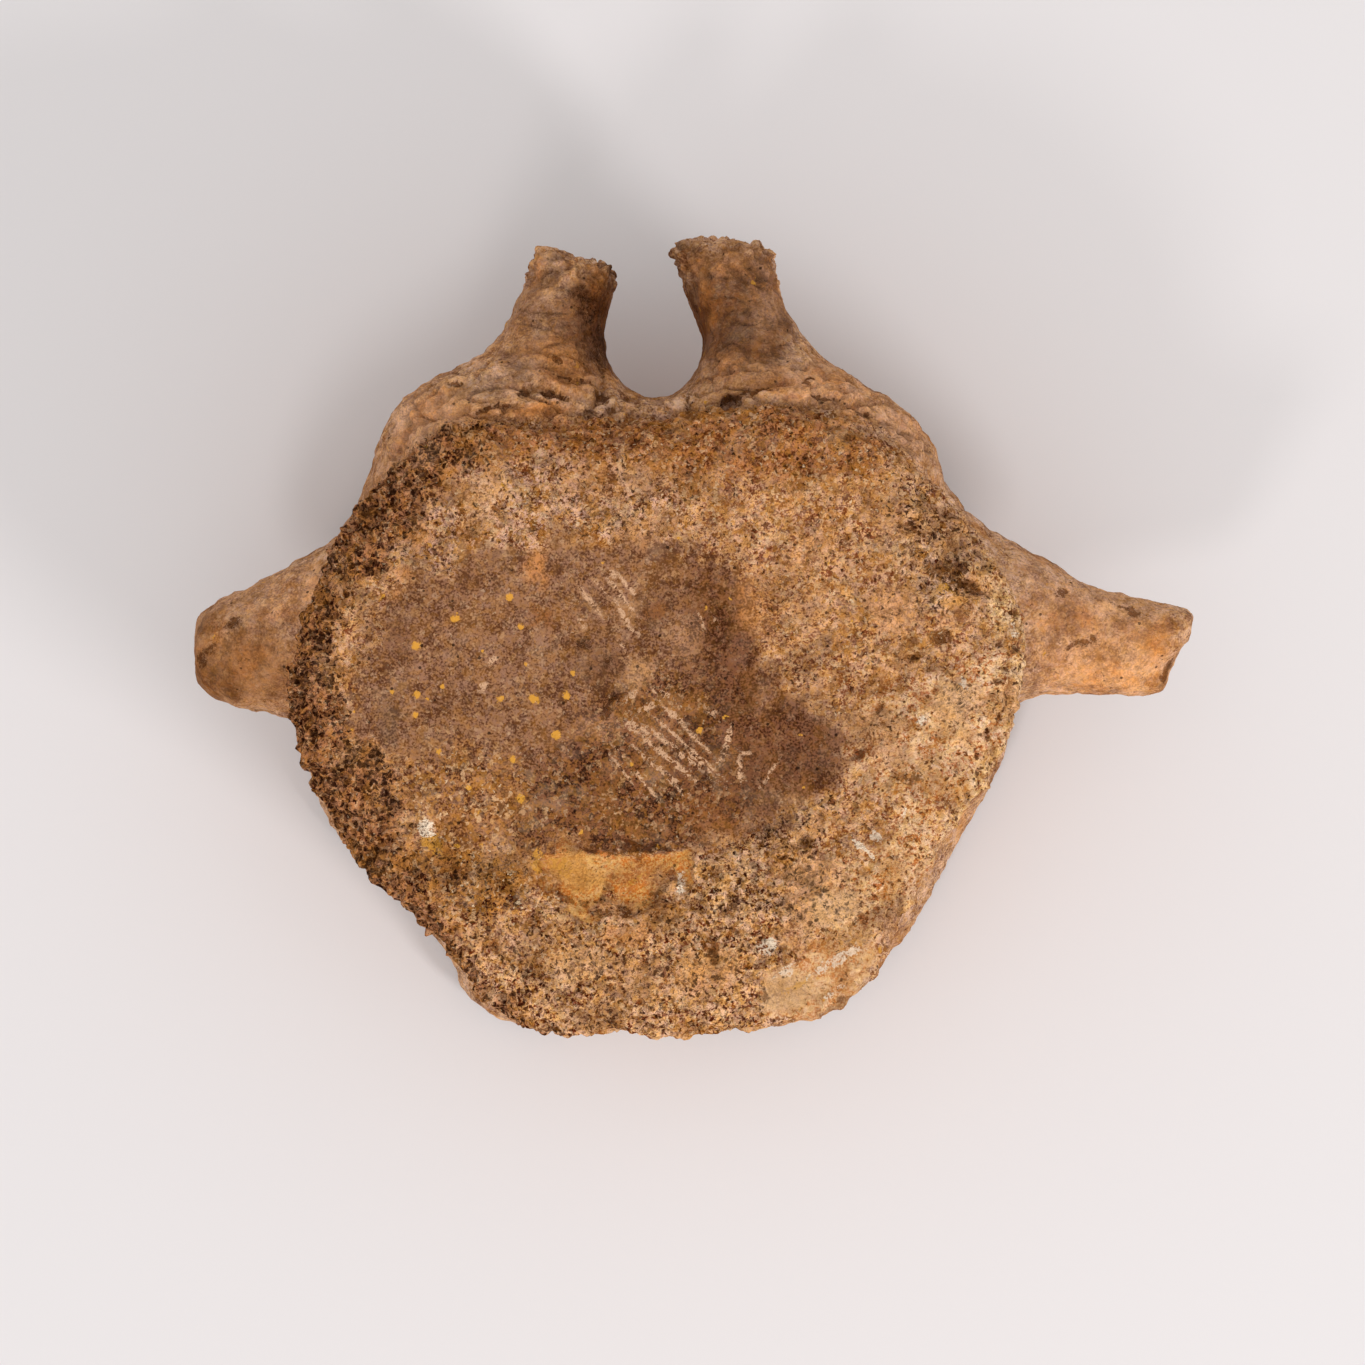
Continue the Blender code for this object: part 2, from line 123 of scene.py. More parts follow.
zoneOutlines = {
    "spongyTan": nearRim,
    "topBand": [
        (-20.2, 29.2), (-13.7, 30.7), (-5.7, 31), (3.3, 31.7), (14.3, 31.7), (21.3, 30.2), (24.3, 27.2),
        (20.3, 24.2), (14.3, 24.4), (4.3, 24.2), (-0.7, 25), (-9.7, 24.6), (-16.7, 23), (-20.7, 21.6),
    ],
    "tanBand": [
        (-27.2, 12.2), (-26.2, 17.7), (-22.7, 22.2), (-18.7, 24.4), (-9.7, 26.7), (-0.7, 25.2), (3.3, 22.2),
        (3.3, 18.2), (-1.7, 19.2), (-5.7, 19.7), (-11.2, 19.2), (-15.7, 17.7), (-21.7, 15.7), (-25.2, 14.2),
    ],
    "bottomTan": [
        (-18.7, -19.8), (-11.7, -18.3), (-1.7, -18.3), (3.3, -19.3), (8.3, -21.3), (13.3, -21.8), (10.8, -25.3),
        (10.3, -32), (-12.7, -33), (-18, -29), (-21, -24.5),
    ],
    "darkBand": [
        (-16.5, 29), (-21.3, 23.4), (-25.8, 17.6), (-31, 13.2), (-32.6, 9.4), (-32.6, 5.2), (-31, 1.9),
        (-28.4, -2.9), (-25.2, -5.9), (-25, -9.3), (-24.2, -12.8), (-22.5, -17.4), (-19.6, -22.6), (-16.2, -27),
        (-11.5, -30.3), (-9, -33), (-16, -32), (-23, -24.5), (-29, -20), (-35, -13), (-39, -6), (-41, 2),
        (-39, 12), (-34, 21), (-29, 27), (-23, 31),
    ],
    "upperRightDark": [
        (24.8, 24.2), (27.8, 22.2), (31.8, 18.2), (34.3, 14.7), (34.8, 12.2), (31.8, 11.2), (28.3, 11.7),
        (25.8, 13.7), (24.8, 18.2),
    ],
    "rightCream": [
        (22.3, 3.2), (27.3, 4.2), (32.8, 6.2), (36.3, 8.2), (37.5, 2.2), (35.8, -3), (31.8, -6.3), (27.3, -7.8),
        (22.3, -7.8), (20.5, -4.8), (20.3, -1.3),
    ],
    "rightRim": [
        (32.2, 17.8), (35.6, 13), (37.8, 6), (37.6, -0.5), (35, -4.8), (30.8, -11.2), (28.6, -10.8),
        (32.4, -4.2), (34.6, 0.5), (35, 6), (33.4, 11.5), (30.8, 15.8),
    ],
    "lowerCream": [
        (14.3, -17.8), (18.3, -14.8), (22.3, -12.8), (26.3, -7.8), (29.3, -11.8), (25.8, -18), (22.3, -20.8),
        (17.3, -22.8), (13.3, -21.3),
    ],
    "orangeMottle": [
        (-23.7, -10.8), (-15.7, -12.8), (-12.7, -15.8), (-13.7, -19.3), (-18.7, -20.3), (-22.7, -17.8),
        (-24.2, -13.8),
    ],
    "brownMottle": [
        (3.3, -12.8), (9.3, -10.8), (14.3, -8.3), (17.3, -7.8), (17.3, -13.8), (14.3, -19.8), (8.3, -21.3),
        (3.3, -19.3), (2.3, -16.8),
    ],
    "patina": [
        (-28.2, 11.7), (-25.7, 13.2), (-24.7, 14.7), (-21.7, 15.2), (-18.2, 16.7), (-15.7, 17.4), (-11.2, 18.7),
        (-5.7, 19.2), (-1.7, 18.7), (1.8, 18.2), (4.3, 17.2), (6.8, 16.7), (8.8, 14.7), (8.8, 12.2), (9.3, 7.2),
        (11.6, 3.4), (16.2, 3.4), (16.8, 0), (19.8, -0.5), (19.8, -3.8), (17.3, -5.8), (14.3, -7.8),
        (9.3, -10.8), (4.3, -12.8), (-3.2, -12.6), (-9.7, -12.3), (-12.7, -12.8), (-18.7, -11.8), (-23.7, -9.8),
        (-25.2, -6.8), (-25.2, -4.6), (-28.2, -2.3), (-30.7, -1.8), (-30.7, 3.2), (-28.5, 7.2),
    ],
    "patinaGrainy": [
        (-25, -4.5), (-20, -2), (-15.5, -3.5), (-12.5, -6.5), (-13, -12.6), (-18, -12.2), (-23, -10.2),
        (-25, -7),
    ],
    "patinaSpeckled": [
        (-13.5, -7), (-9.5, -2.5), (-6.2, 2.2), (-2.2, 4.2), (2.8, 4.7), (6.3, 1.7), (9.3, -1.3), (10.3, -6.3),
        (7.5, -10.5), (3.3, -12.8), (-8.7, -12.6), (-13.5, -12.2),
    ],
    "patinaDark": [
        (3.3, 17.7), (7.8, 16.2), (9.1, 12.2), (9.8, 6.2), (12.3, 3), (16.2, 3.2), (16.8, 0.2), (19.3, -0.6),
        (19.5, -3.8), (14.3, -7.3), (10.3, -6.8), (7.8, -3.8), (4.3, 2.2), (3.3, 8.2),
    ],
    "yellowFloor": [
        (-12.2, -13.3), (-6.7, -12.8), (-1.7, -13.5), (3.3, -13), (3.3, -15.8), (0.3, -16.8), (-1.7, -18.1),
        (-6.7, -18.3), (-10.7, -16.8), (-12.2, -15),
    ],
    "creamChip": [
        (10.8, -25.3), (14.3, -23.6), (21.3, -22.8), (23.5, -24), (20.3, -28), (15.8, -30.5), (11.3, -30.5),
        (10, -27.8),
    ],
}
zones = {
    name: {"outline": zoneOutlines[name], **dict(zip(zoneKeys, looks))} for name, looks in zoneLooks.items()
}

# The skin of the walls, the arch and the processes, and the far joint face
cortex = {"dark": (120, 75, 46), "light": (238, 194, 158), "pores": 0.14, "smooth": 0.5, "flecks": 0.5}
farFace = {"dark": (98, 56, 28), "light": (204, 150, 104), "pores": 0.6, "smooth": 0.0, "flecks": 1.0}

# Tints of the soft blots, as screen colours
blotTints = {
    "rust": (132, 78, 34), "orange": (198, 130, 72), "yellow": (238, 172, 96), "cream": (224, 169, 118),
    "tan": (178, 123, 76), "pinkish": (197, 146, 108), "brown": (122, 78, 46), "greyBrown": (124, 92, 68),
    "sand": (246, 180, 124), "dim": (104, 66, 42), "shade": (118, 76, 50), "pale": (220, 172, 136),
    "drab": (142, 98, 66), "honey": (208, 140, 80), "straw": (252, 180, 96), "chalk": (255, 202, 148),
    "ash": (140, 104, 82),
}

# Blots of the near face, painted in this order: middle and half lengths of each patch, its tint and
# strength, and its turn where it has one
nearBlots = [
    (-12.2, 15.5, 1.4, 1.2, "orange", 0.6), (-12, 10.5, 0.9, 0.5, "rust", 0.8, 35),
    (-0.4, 11.1, 1.1, 0.6, "rust", 0.8, 20), (-1.2, 19.4, 3.6, 1.6, "tan", 0.5, 15),
    (-3.7, 24.2, 6, 1.9, "tan", 0.45, 5), (-5.4, 24.2, 1.5, 0.8, "rust", 0.6),
    (-17.7, 23.2, 2.6, 1.5, "cream", 0.6, 30), (-26, 13.9, 1, 1.6, "orange", 0.5, -30),
    (-29, 10.6, 1.2, 2.6, "brown", 0.6), (-23.7, 18.9, 1.6, 1.2, "orange", 0.5, 40),
    (10.3, 11.6, 2.2, 3.6, "orange", 0.5, 10), (28.8, 14.7, 2.4, 1.2, "umber", 0.62, -30),
    (28.6, 13.4, 0.8, 0.6, "ochre", 0.9), (29.7, 12.1, 1.2, 0.5, "yellow", 0.8, 10),
    (28.6, 18.9, 3.2, 2.4, "rust", 0.5, -40), (29, 1.6, 1.8, 1.6, "yellow", 0.6),
    (25, 11.5, 2.2, 2.4, "pinkish", 0.5), (28.3, 8.5, 1, 0.8, "umber", 0.7),
    (24.8, 6.2, 1.6, 1, "brown", 0.6, 20), (16.6, 7.9, 1.1, 0.8, "greyBrown", 0.6),
    (-7.4, 8, 0.7, 0.7, "slate", 0.7), (-4.9, 5.9, 0.6, 0.9, "slate", 0.5), (-4.4, 2.5, 0.7, 0.6, "slate", 0.6),
    (-5.2, 0.9, 0.8, 0.7, "slate", 0.7), (-1.4, 9.5, 0.6, 0.5, "slate", 0.6),
    (-26.9, 0, 1.2, 2.4, "greyBrown", 0.6, 10), (-0.2, -1, 2.2, 1.8, "pinkish", 0.3),
    (0.2, -3.8, 2.4, 1.4, "dim", 0.3, -40), (-1.6, 4.9, 1.8, 1.4, "cream", 0.4, 40),
    (-23.2, -10.6, 0.9, 0.9, "white", 0.95), (-22.5, -12.2, 1.2, 0.9, "ochre", 0.8, -50),
    (-19.7, -15.1, 1.3, 0.8, "slate", 0.5), (-21.4, -14.2, 2.4, 1.6, "rust", 0.4, -40),
    (-8, -15.4, 3.2, 1.5, "straw", 0.85, -12), (-11.9, -13.9, 0.7, 1.2, "ochre", 0.8),
    (-1.7, -15.3, 3.4, 1.2, "orange", 0.5, 5), (-1.2, -12.6, 2.6, 0.45, "umber", 0.9, -5),
    (-13.4, -13.5, 1, 1.6, "brown", 0.6), (-4.4, -19.2, 1.8, 0.45, "umber", 0.55),
    (0.6, -19.5, 1.8, 2.2, "brown", 0.6), (2.3, -16, 0.5, 0.8, "rust", 0.6), (2.2, -17, 0.5, 0.5, "white", 0.8),
    (0.8, -16.7, 1.5, 0.4, "cream", 0.8, 25), (-8, -24.3, 2.8, 1.7, "cream", 0.55, 10),
    (-14.5, -22, 2.6, 1.4, "pinkish", 0.5, -30), (-10.5, -21, 2.4, 1.2, "rust", 0.4, 20),
    (-1, -24.8, 1.4, 0.7, "rust", 0.4, 30), (4.6, -26.2, 2.6, 1.8, "orange", 0.4),
    (-5.4, -29.6, 3.2, 1.4, "brown", 0.6), (-1.6, -25.6, 3.6, 2, "sand", 0.35),
    (16, -10.5, 1.1, 1.1, "pinkish", 0.7), (11, -11.3, 3, 1.4, "umber", 0.36, 10),
    (11.8, -9.6, 3.2, 1.6, "dim", 0.5, -20), (5.6, -9.8, 2.8, 2.2, "rust", 0.45, -20),
    (17.5, -18.5, 3.6, 1.8, "cream", 0.75, 15), (22.8, -19.3, 3.2, 1.3, "brown", 0.6, 35),
    (20.3, -19.5, 0.5, 0.6, "slate", 0.7), (5.5, -22.8, 0.7, 1.4, "slate", 0.75, 20),
    (18.8, -23.4, 2.3, 0.35, "white", 0.9, 20), (20.3, -27.8, 3.2, 0.5, "brown", 0.6, 35),
    (7.4, -18.6, 1.6, 1, "umber", 0.5, 30), (20.1, -12.1, 0.7, 0.35, "white", 0.9, -45),
    (21.1, -13.1, 0.9, 0.3, "white", 0.8, -50), (22, -11.6, 0.7, 0.45, "white", 0.9, -20),
    (11, -22.3, 0.8, 0.9, "white", 0.8), (24.6, -9, 0.6, 0.3, "white", 0.8, 10),
    (36, 9.4, 0.3, 0.8, "white", 0.8, 20), (30.8, 4, 0.4, 0.6, "white", 0.8, 20),
    (26.5, 0.2, 0.6, 0.4, "white", 0.8), (22.6, -2.4, 1.6, 1, "rust", 0.5, 30),
    (25.6, -5.6, 1.4, 0.9, "umber", 0.5), (31.6, -1.6, 1.6, 1, "cream", 0.5, 20),
    (24.4, -14.6, 1.8, 1, "cream", 0.5, 50), (-5.6, 5.4, 2.2, 2, "dim", 0.65),
    (4.6, -4.8, 5.6, 3.2, "dim", 0.5, -40), (15.6, -16.6, 3.6, 2.8, "sand", 0.55, 25),
    (9, -4.8, 2.6, 2.4, "dim", 0.5), (14.5, -26.2, 2.6, 0.3, "ochre", 0.8, 28),
    (18, -28.6, 2.2, 0.34, "brown", 0.7, 38), (16.5, -25, 2.8, 0.26, "white", 0.7, 25),
    (15, -28.3, 2.4, 0.3, "brown", 0.45, 30), (19.2, -25.4, 1.8, 0.28, "orange", 0.5, 30),
    (13, -28.8, 1.2, 0.5, "sand", 0.7, 20), (17.8, -27, 2, 0.26, "white", 0.6, 32),
    (12.6, -25.2, 1.3, 0.4, "white", 0.6, 35), (10.8, -27.4, 0.5, 1.1, "umber", 0.5, 10),
    (-4.9, -16.6, 0.24, 1.8, "brown", 0.7, -42), (0.4, -14.5, 1.7, 0.7, "rust", 0.25, 10),
    (-2.4, -15.9, 1.2, 0.5, "ochre", 0.6, 22), (2.5, -15.8, 0.45, 1.1, "white", 0.75, -20),
    (-9.6, -14.6, 1.3, 0.8, "ochre", 0.6, -20), (-6.4, -13.1, 5, 0.3, "umber", 0.6, 3),
    (-8.6, -17.9, 2.6, 0.3, "umber", 0.6, -24), (-0.4, -17.6, 2.2, 0.3, "umber", 0.6, 38),
    (23.4, 11.4, 2.4, 2.6, "sand", 0.7), (14.8, -15.2, 2.4, 1.8, "sand", 0.6, 20),
    (5.2, -24.8, 3.4, 1.8, "sand", 0.6, 10), (3.2, 8.4, 1.6, 2.2, "pinkish", 0.35),
    (13, -27.2, 2.6, 1.9, "chalk", 0.7, 20), (22.6, -0.4, 3.6, 1.6, "tan", 0.7),
    (30.4, 2, 3.4, 1.8, "sand", 0.55, 10), (29.6, -0.8, 2.6, 1.3, "yellow", 0.4),
    (35.3, 2.4, 1.2, 1.8, "sand", 0.6), (29.6, 2.4, 2.2, 1.6, "chalk", 0.4), (29.6, 10.6, 2, 1.4, "sand", 0.45),
    (17.7, -18.2, 2.6, 1.6, "chalk", 0.6, 10), (23.8, -21, 1.8, 1, "pinkish", 0.6, 50),
    (-4.4, -18.6, 3, 1, "orange", 0.4), (23.6, -3.6, 2.2, 1.4, "sand", 0.5, 20),
    (14, 5.4, 2.6, 1.6, "brown", 0.45, -10), (-12.6, -24.6, 3.2, 1.4, "brown", 0.4, -30),
    (32.6, 13.8, 1.8, 1.2, "orange", 0.4, -30), (-23, 26.6, 1.6, 0.8, "pinkish", 0.5, 40),
    (-20.6, 22.9, 2.2, 1.4, "brown", 0.5, 20), (14.8, 17, 2.4, 2, "sand", 0.4),
    (13.4, -21.2, 2.6, 1.4, "sand", 0.5, 20), (-29, -3.6, 1.8, 1.8, "tan", 0.35),
    (-17.4, 20.2, 2.2, 1.4, "cream", 0.45, 10), (0.2, 11.4, 1.8, 1.6, "dim", 0.4),
    (14.8, 11.1, 2, 2, "tan", 0.45), (-3, -21.2, 2.6, 1.3, "orange", 0.6), (-17.4, -15.2, 2, 1.6, "dim", 0.35),
    (23.6, 19.9, 2.2, 1.8, "sand", 0.4), (-8.6, -12.4, 2.6, 0.9, "brown", 0.6),
    (-5.8, -0.6, 2, 1.6, "pinkish", 0.35), (-20.4, 14.1, 2.2, 2, "shade", 0.45, 10),
    (26.5, 14.1, 2.4, 1.9, "shade", 0.34, -20), (-26.2, 8.2, 1.9, 2.2, "shade", 0.5),
    (31, 17.2, 2.8, 1.8, "shade", 0.4, -40), (-17.4, 25.8, 2.4, 1.6, "shade", 0.36, 10),
    (-8.6, 25.8, 2.4, 1.8, "rust", 0.28), (23.6, 22.9, 2.2, 1.7, "shade", 0.27, -35),
    (11.9, -9.4, 2.2, 1.7, "shade", 0.4), (17.7, -18.2, 2.3, 1.9, "chalk", 0.5, 30),
    (29.5, 1.8, 1.8, 2.8, "chalk", 0.42), (13.4, -27, 3, 1.6, "chalk", 0.6, 5),
    (14.8, -15.2, 2, 1.7, "chalk", 0.26, 20), (4.6, -24, 2.8, 1.5, "straw", 0.34),
]

# Blots of the walls, the arch and the processes, on whatever surface is uppermost there
sideBlots = [
    (-11.5, 40.5, 4.2, 7.5, "drab", 0.65, 15), (9.4, 41.4, 4.6, 7.6, "shade", 0.8, -14),
    (9.6, 40.5, 3.6, 5.6, "dim", 0.7, -14), (-7.2, 40.6, 3, 5.8, "shade", 0.85, -14),
    (5.2, 41.5, 2.2, 5.6, "shade", 0.85, 10), (-35.4, 12.4, 1.9, 4.4, "pale", 0.85),
    (-26, 25.8, 1.6, 3, "pale", 0.6, -40), (14.8, 34.8, 3.6, 2.2, "pale", 0.7, -20),
    (-23.4, 30.8, 4, 3.2, "pale", 0.8, 30), (4.9, 42.6, 0.7, 2.4, "orange", 0.8, 8),
    (6.6, 47, 3.6, 1.6, "honey", 0.5), (-9.8, 35.5, 3.4, 2.4, "honey", 0.6, -20),
    (-14.8, 34.8, 3.4, 1.8, "pale", 0.6, 25), (-15, 30.6, 7, 1.5, "honey", 0.55, 5),
    (-24.5, 28.5, 2.4, 3.6, "honey", 0.45, -20), (-27.8, 25.6, 1.2, 3.4, "pinkish", 0.7, -35),
    (9, 35, 4, 1.8, "honey", 0.6, -10), (17.5, 32.2, 6, 2, "honey", 0.45, -12),
    (25.2, 29.6, 1.8, 3.4, "pinkish", 0.7, 35), (44, 12, 7.5, 1.5, "pale", 0.6, -13),
    (39.5, 15, 3, 1.6, "pale", 0.6, -30), (46, 4.6, 6.5, 1.6, "cream", 0.6), (50.5, 8, 2.4, 2.4, "honey", 0.6),
    (44.5, 7.4, 3.4, 1.2, "honey", 0.6, 8), (39.6, 8, 1.6, 4.5, "pinkish", 0.5),
    (-44, 12, 6, 1.4, "pinkish", 0.6, 24), (-47.2, 6.5, 1.5, 5.5, "drab", 0.8, -8),
    (-44.6, 6.8, 2.6, 2.4, "honey", 0.35), (-42, 5, 6, 5, "tan", 0.85), (-43.4, 10, 1.1, 0.4, "slate", 0.8, 8),
    (-45.6, 7.6, 0.7, 0.9, "slate", 0.6, 20), (-46.9, 6.4, 0.5, 1.2, "umber", 0.6),
    (-42.5, 6.9, 2.4, 2.8, "orange", 0.15), (-45.2, 3.6, 1.8, 1.1, "rust", 0.6, -30),
    (-46.2, 1.6, 0.9, 0.9, "brown", 0.6), (-38.5, 10.5, 1.6, 1, "pinkish", 0.5, 30),
    (42.3, 10.2, 2.2, 1.7, "rust", 0.6), (43.3, 7.9, 1.8, 0.35, "umber", 0.9, 14),
    (45.6, 9.4, 2.8, 1.3, "pinkish", 0.6, -8), (48.7, 11.3, 0.8, 0.5, "umber", 0.8),
    (46.8, 12, 1.8, 0.25, "umber", 0.5, -22), (41.2, 13, 0.9, 0.5, "umber", 0.7),
    (48.3, 6.9, 1.9, 0.5, "cream", 0.8, 25), (52.3, 5, 0.4, 1.7, "umber", 0.8, -18),
    (50.4, 8.2, 2.2, 2.6, "sand", 0.45, -10), (51.2, 7.9, 1.2, 2.2, "orange", 0.3, -10),
    (46.4, 4.6, 6.4, 1.3, "sand", 0.6, 2), (39.3, 8.4, 0.3, 3.4, "cream", 0.5, 6),
    (40.2, 8, 0.3, 3, "brown", 0.5, 6), (-45.9, 4.2, 3.2, 2.4, "brown", 0.55),
    (-7.4, 42.4, 1.6, 2.3, "umber", 0.42, 20), (-8, 41.8, 2, 3.2, "dim", 0.55, -12),
    (-5.5, 43.2, 1.1, 3.6, "rust", 0.65, 8), (-5.9, 38, 0.9, 3, "umber", 0.5, 8),
    (-12, 48.2, 1, 1, "cream", 0.7), (-12.3, 45.9, 0.6, 1.8, "orange", 0.5),
    (-10.9, 44.1, 0.8, 1.1, "cream", 0.6), (-10.2, 48.4, 1, 1.2, "brown", 0.6),
    (-4.5, 46.7, 1, 1, "umber", 0.6), (5.2, 42, 0.9, 2.8, "rust", 0.8, -5), (3.5, 47.3, 0.8, 2.2, "rust", 0.5),
    (8.5, 39.5, 1.2, 0.8, "greyBrown", 0.8), (8.9, 42.8, 0.9, 1.1, "greyBrown", 0.6),
    (2.3, 49.4, 0.8, 1, "greyBrown", 0.5), (11.1, 42.2, 1.4, 4.2, "pinkish", 0.5),
    (-12, 31, 2.8, 0.9, "orange", 0.8), (-22.5, 31.6, 3.4, 3, "cream", 0.45, 30),
    (-17, 33, 2.6, 0.8, "greyBrown", 0.45, -8), (5.4, 33.4, 2, 1, "cream", 0.5),
    (14, 33.6, 4, 0.8, "orange", 0.35, 5), (17.5, 35.5, 2.4, 1, "brown", 0.4, -25),
    (-40.4, 11.4, 3, 1.6, "pale", 0.6, 26), (-23.3, 30.6, 3.2, 2.6, "pale", 0.7, 20),
    (17.6, 33.4, 4.6, 2.4, "sand", 0.35, -16), (45, 9, 7, 5, "sand", 0.35),
    (-21.5, 31.5, 2.6, 1.6, "sand", 0.4, 20), (-15, 38.5, 2.2, 2.2, "pale", 0.4),
    (15.2, 32.6, 2.4, 1.8, "pale", 0.35), (7.6, 35.6, 3, 1.6, "pale", 0.35),
    (-43.2, 6.4, 5.4, 4.6, "drab", 0.35), (-11.6, 42.8, 2.4, 3.6, "pale", 0.15, 10),
    (9.4, 41.5, 5, 7.5, "ash", 0.3, -12), (20, 31, 6.5, 2.6, "pale", 0.25, -20),
]

# Pits and slits of the arch, with painted shade inside: middle, half lengths, turn and depth
dents = [
    (7.3, 32.3, 0.9, 0.6, 10, 1.1), (3, 31.9, 0.3, 0.8, 0, 0.6), (4.9, 31, 1.8, 0.22, 2, 0.6),
    (13.6, 31.3, 1.2, 0.2, 5, 0.5), (20.3, 31.2, 1.3, 0.22, -18, 0.5), (15.2, 34.3, 0.6, 0.3, 0, 0.4),
    (-13.5, 33.1, 0.8, 0.25, 6, 0.5), (-10.4, 32.8, 1.4, 0.28, -14, 0.8), (-6.9, 31.1, 0.7, 0.3, 0, 0.6),
    (-5.6, 32.7, 0.6, 0.6, 0, 0.7), (-4.6, 31.3, 0.5, 0.4, 0, 0.5), (-10.4, 36.9, 0.9, 0.2, -32, 0.5),
    (-20.4, 34.2, 0.9, 0.22, 10, 0.4), (9.9, 33.2, 1.8, 0.2, 8, 0.5), (-16.2, 31.6, 1.8, 0.22, 10, 0.5),
    (17, 32.6, 2, 0.2, -4, 0.4), (-8.4, 34.6, 2, 0.2, -12, 0.5),
]

# Pits of the near face, in the same way
facePits = [
    (36.1, 10.8, 0.3, 0.5, 0, 0.4), (36, 7.2, 0.3, 0.5, 0, 0.4), (34.3, 7.9, 0.42, 0.3, 20, 0.4),
    (34.3, 4.1, 0.4, 0.3, 0, 0.4), (34.8, 5.4, 0.3, 0.3, 0, 0.4), (34.3, 0.2, 0.3, 0.65, 0, 0.5),
    (33.2, -1.3, 0.3, 0.6, 0, 0.4), (15, 7.3, 0.35, 0.25, 0, 0.3), (20.3, -3.3, 0.8, 0.5, 40, 0.4),
    (22.1, 1.2, 0.6, 0.34, 30, 0.3), (25.9, 6.5, 0.6, 0.36, 0, 0.3), (28.7, 8.4, 1, 0.5, 0, 0.3),
    (27.1, 5.3, 0.5, 0.3, 0, 0.3), (31.6, 13.4, 1.3, 0.6, -30, 0.4), (30.4, 15.6, 0.9, 0.5, -40, 0.4),
    (-13, 15.9, 0.25, 0.2, 0, 0.2), (-12.2, 15, 0.3, 0.2, 20, 0.2), (-20.4, 11.3, 0.2, 0.16, 0, 0.2),
    (5.6, -23.4, 0.5, 0.9, 25, 0.4), (-3, -19.2, 0.7, 0.3, 0, 0.3), (-6, -18.9, 0.5, 0.25, 0, 0.3),
    (12.4, -13.6, 0.5, 0.3, 30, 0.3), (14.8, -11.9, 0.6, 0.4, 0, 0.3), (9.8, -15.6, 0.4, 0.7, 0, 0.3),
]

# Specks of ochre on the near face: middle and size in mm
ochreSpecks = [
    (-14.8, 12.5, 0.45), (-20.2, 10.4, 0.55), (-13.8, 9.5, 0.45), (-24.1, 7.7, 0.5), (-15.7, 2.3, 0.45),
    (-12.4, 2.3, 0.6), (-9.1, 2.7, 0.5), (-24, 2.7, 0.42), (-26.5, 3.1, 0.35), (-24.2, 0.7, 0.38),
    (-21.4, 3.5, 0.3), (-8.5, 4.9, 0.32), (-13.7, -7.7, 0.5), (-10.1, -1.3, 0.52), (-21.8, -3, 0.38),
    (-14.5, -3.8, 0.35), (-17.4, 7.1, 0.25), (-18.9, -6.6, 0.3), (4.2, -0.9, 0.45), (-2.6, -4.4, 0.3),
]

# Scratches of the near face: middle, turn, half length and half width in mm
scratches = [
    (-6.9, 12.3, -52, 2.6, 0.3), (-3.8, 12.9, -52, 2.5, 0.28), (-4.6, 14.8, -45, 0.6, 0.42),
    (-3.4, 10.7, -61, 2, 0.3), (-2.2, 9, -20, 0.8, 0.4), (-7.6, 10, -65, 0.9, 0.3), (-2.9, 13.6, -50, 1.8, 0.2),
    (-5.6, 13.4, -48, 1.6, 0.18), (-16.5, 6.2, 31, 0.7, 0.3), (-17.5, 3.5, 45, 0.6, 0.34),
    (-3.5, 7.6, -56, 1.3, 0.2), (4.5, 10, -74, 1.1, 0.2), (5.9, 9.9, -72, 0.6, 0.22), (2.3, -3.1, -39, 5, 0.28),
    (3.2, -2.6, -41, 4.6, 0.2), (0.8, -3.4, -40, 4.8, 0.26), (-0.2, -4.5, -43, 4.4, 0.18),
    (-1.7, -5.6, -50, 4.2, 0.16), (3.6, -1.4, -45, 3, 0.22), (-3.2, -5.2, -52, 2.6, 0.16),
    (1.4, -5.6, -44, 2.8, 0.2), (4.6, -4.4, -44, 2.2, 0.2), (-0.6, -7, -52, 2.2, 0.16),
    (7, -2.2, 76, 1.8, 0.28), (6.4, -3.8, 30, 0.9, 0.22), (8.3, -4.6, -86, 1.6, 0.32),
    (8.9, -3.2, 10, 0.9, 0.22), (11.4, -5.2, 58, 1.5, 0.2), (10.6, -6.2, 50, 1, 0.18), (5.6, 0.8, 60, 0.6, 0.3),
    (-1, 1.4, 30, 1.3, 0.34), (0.4, 2.8, -20, 1.1, 0.3), (1.8, 0.6, -35, 1.5, 0.32),
    (-1.8, -0.6, -35, 1.4, 0.28), (5.2, 1, -60, 0.8, 0.24), (-2.6, 2.6, 40, 0.8, 0.3),
]


def toLinear(colour):
    share = np.array(colour, float) / 255
    return np.where(share <= 0.04045, share / 12.92, ((share + 0.055) / 1.055) ** 2.4)


def ease(low, high, value):
    share = np.clip((value - low) / (high - low), 0, 1)
    return share * share * (3 - 2 * share)


def readVectors(piece, field):
    flat = np.empty(len(piece.data.vertices) * 3, np.float32)
    piece.data.vertices.foreach_get(field, flat)
    return flat.reshape(-1, 3).astype(float)


# Places of all points, in mm from the middle of the centrum, heights from the floor
def readPlaces(piece):
    places = readVectors(piece, "co") * 1000
    places[:, :2] -= centrumMiddle
    return places


# Puts the points back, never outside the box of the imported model
def writePlaces(piece, places):
    moved = places.copy()
    moved[:, :2] += centrumMiddle
    moved = np.clip(moved / 1000, np.array(cadLow), np.array(cadHigh))
    piece.data.vertices.foreach_set("co", moved.astype(np.float32).ravel())
    piece.data.update()


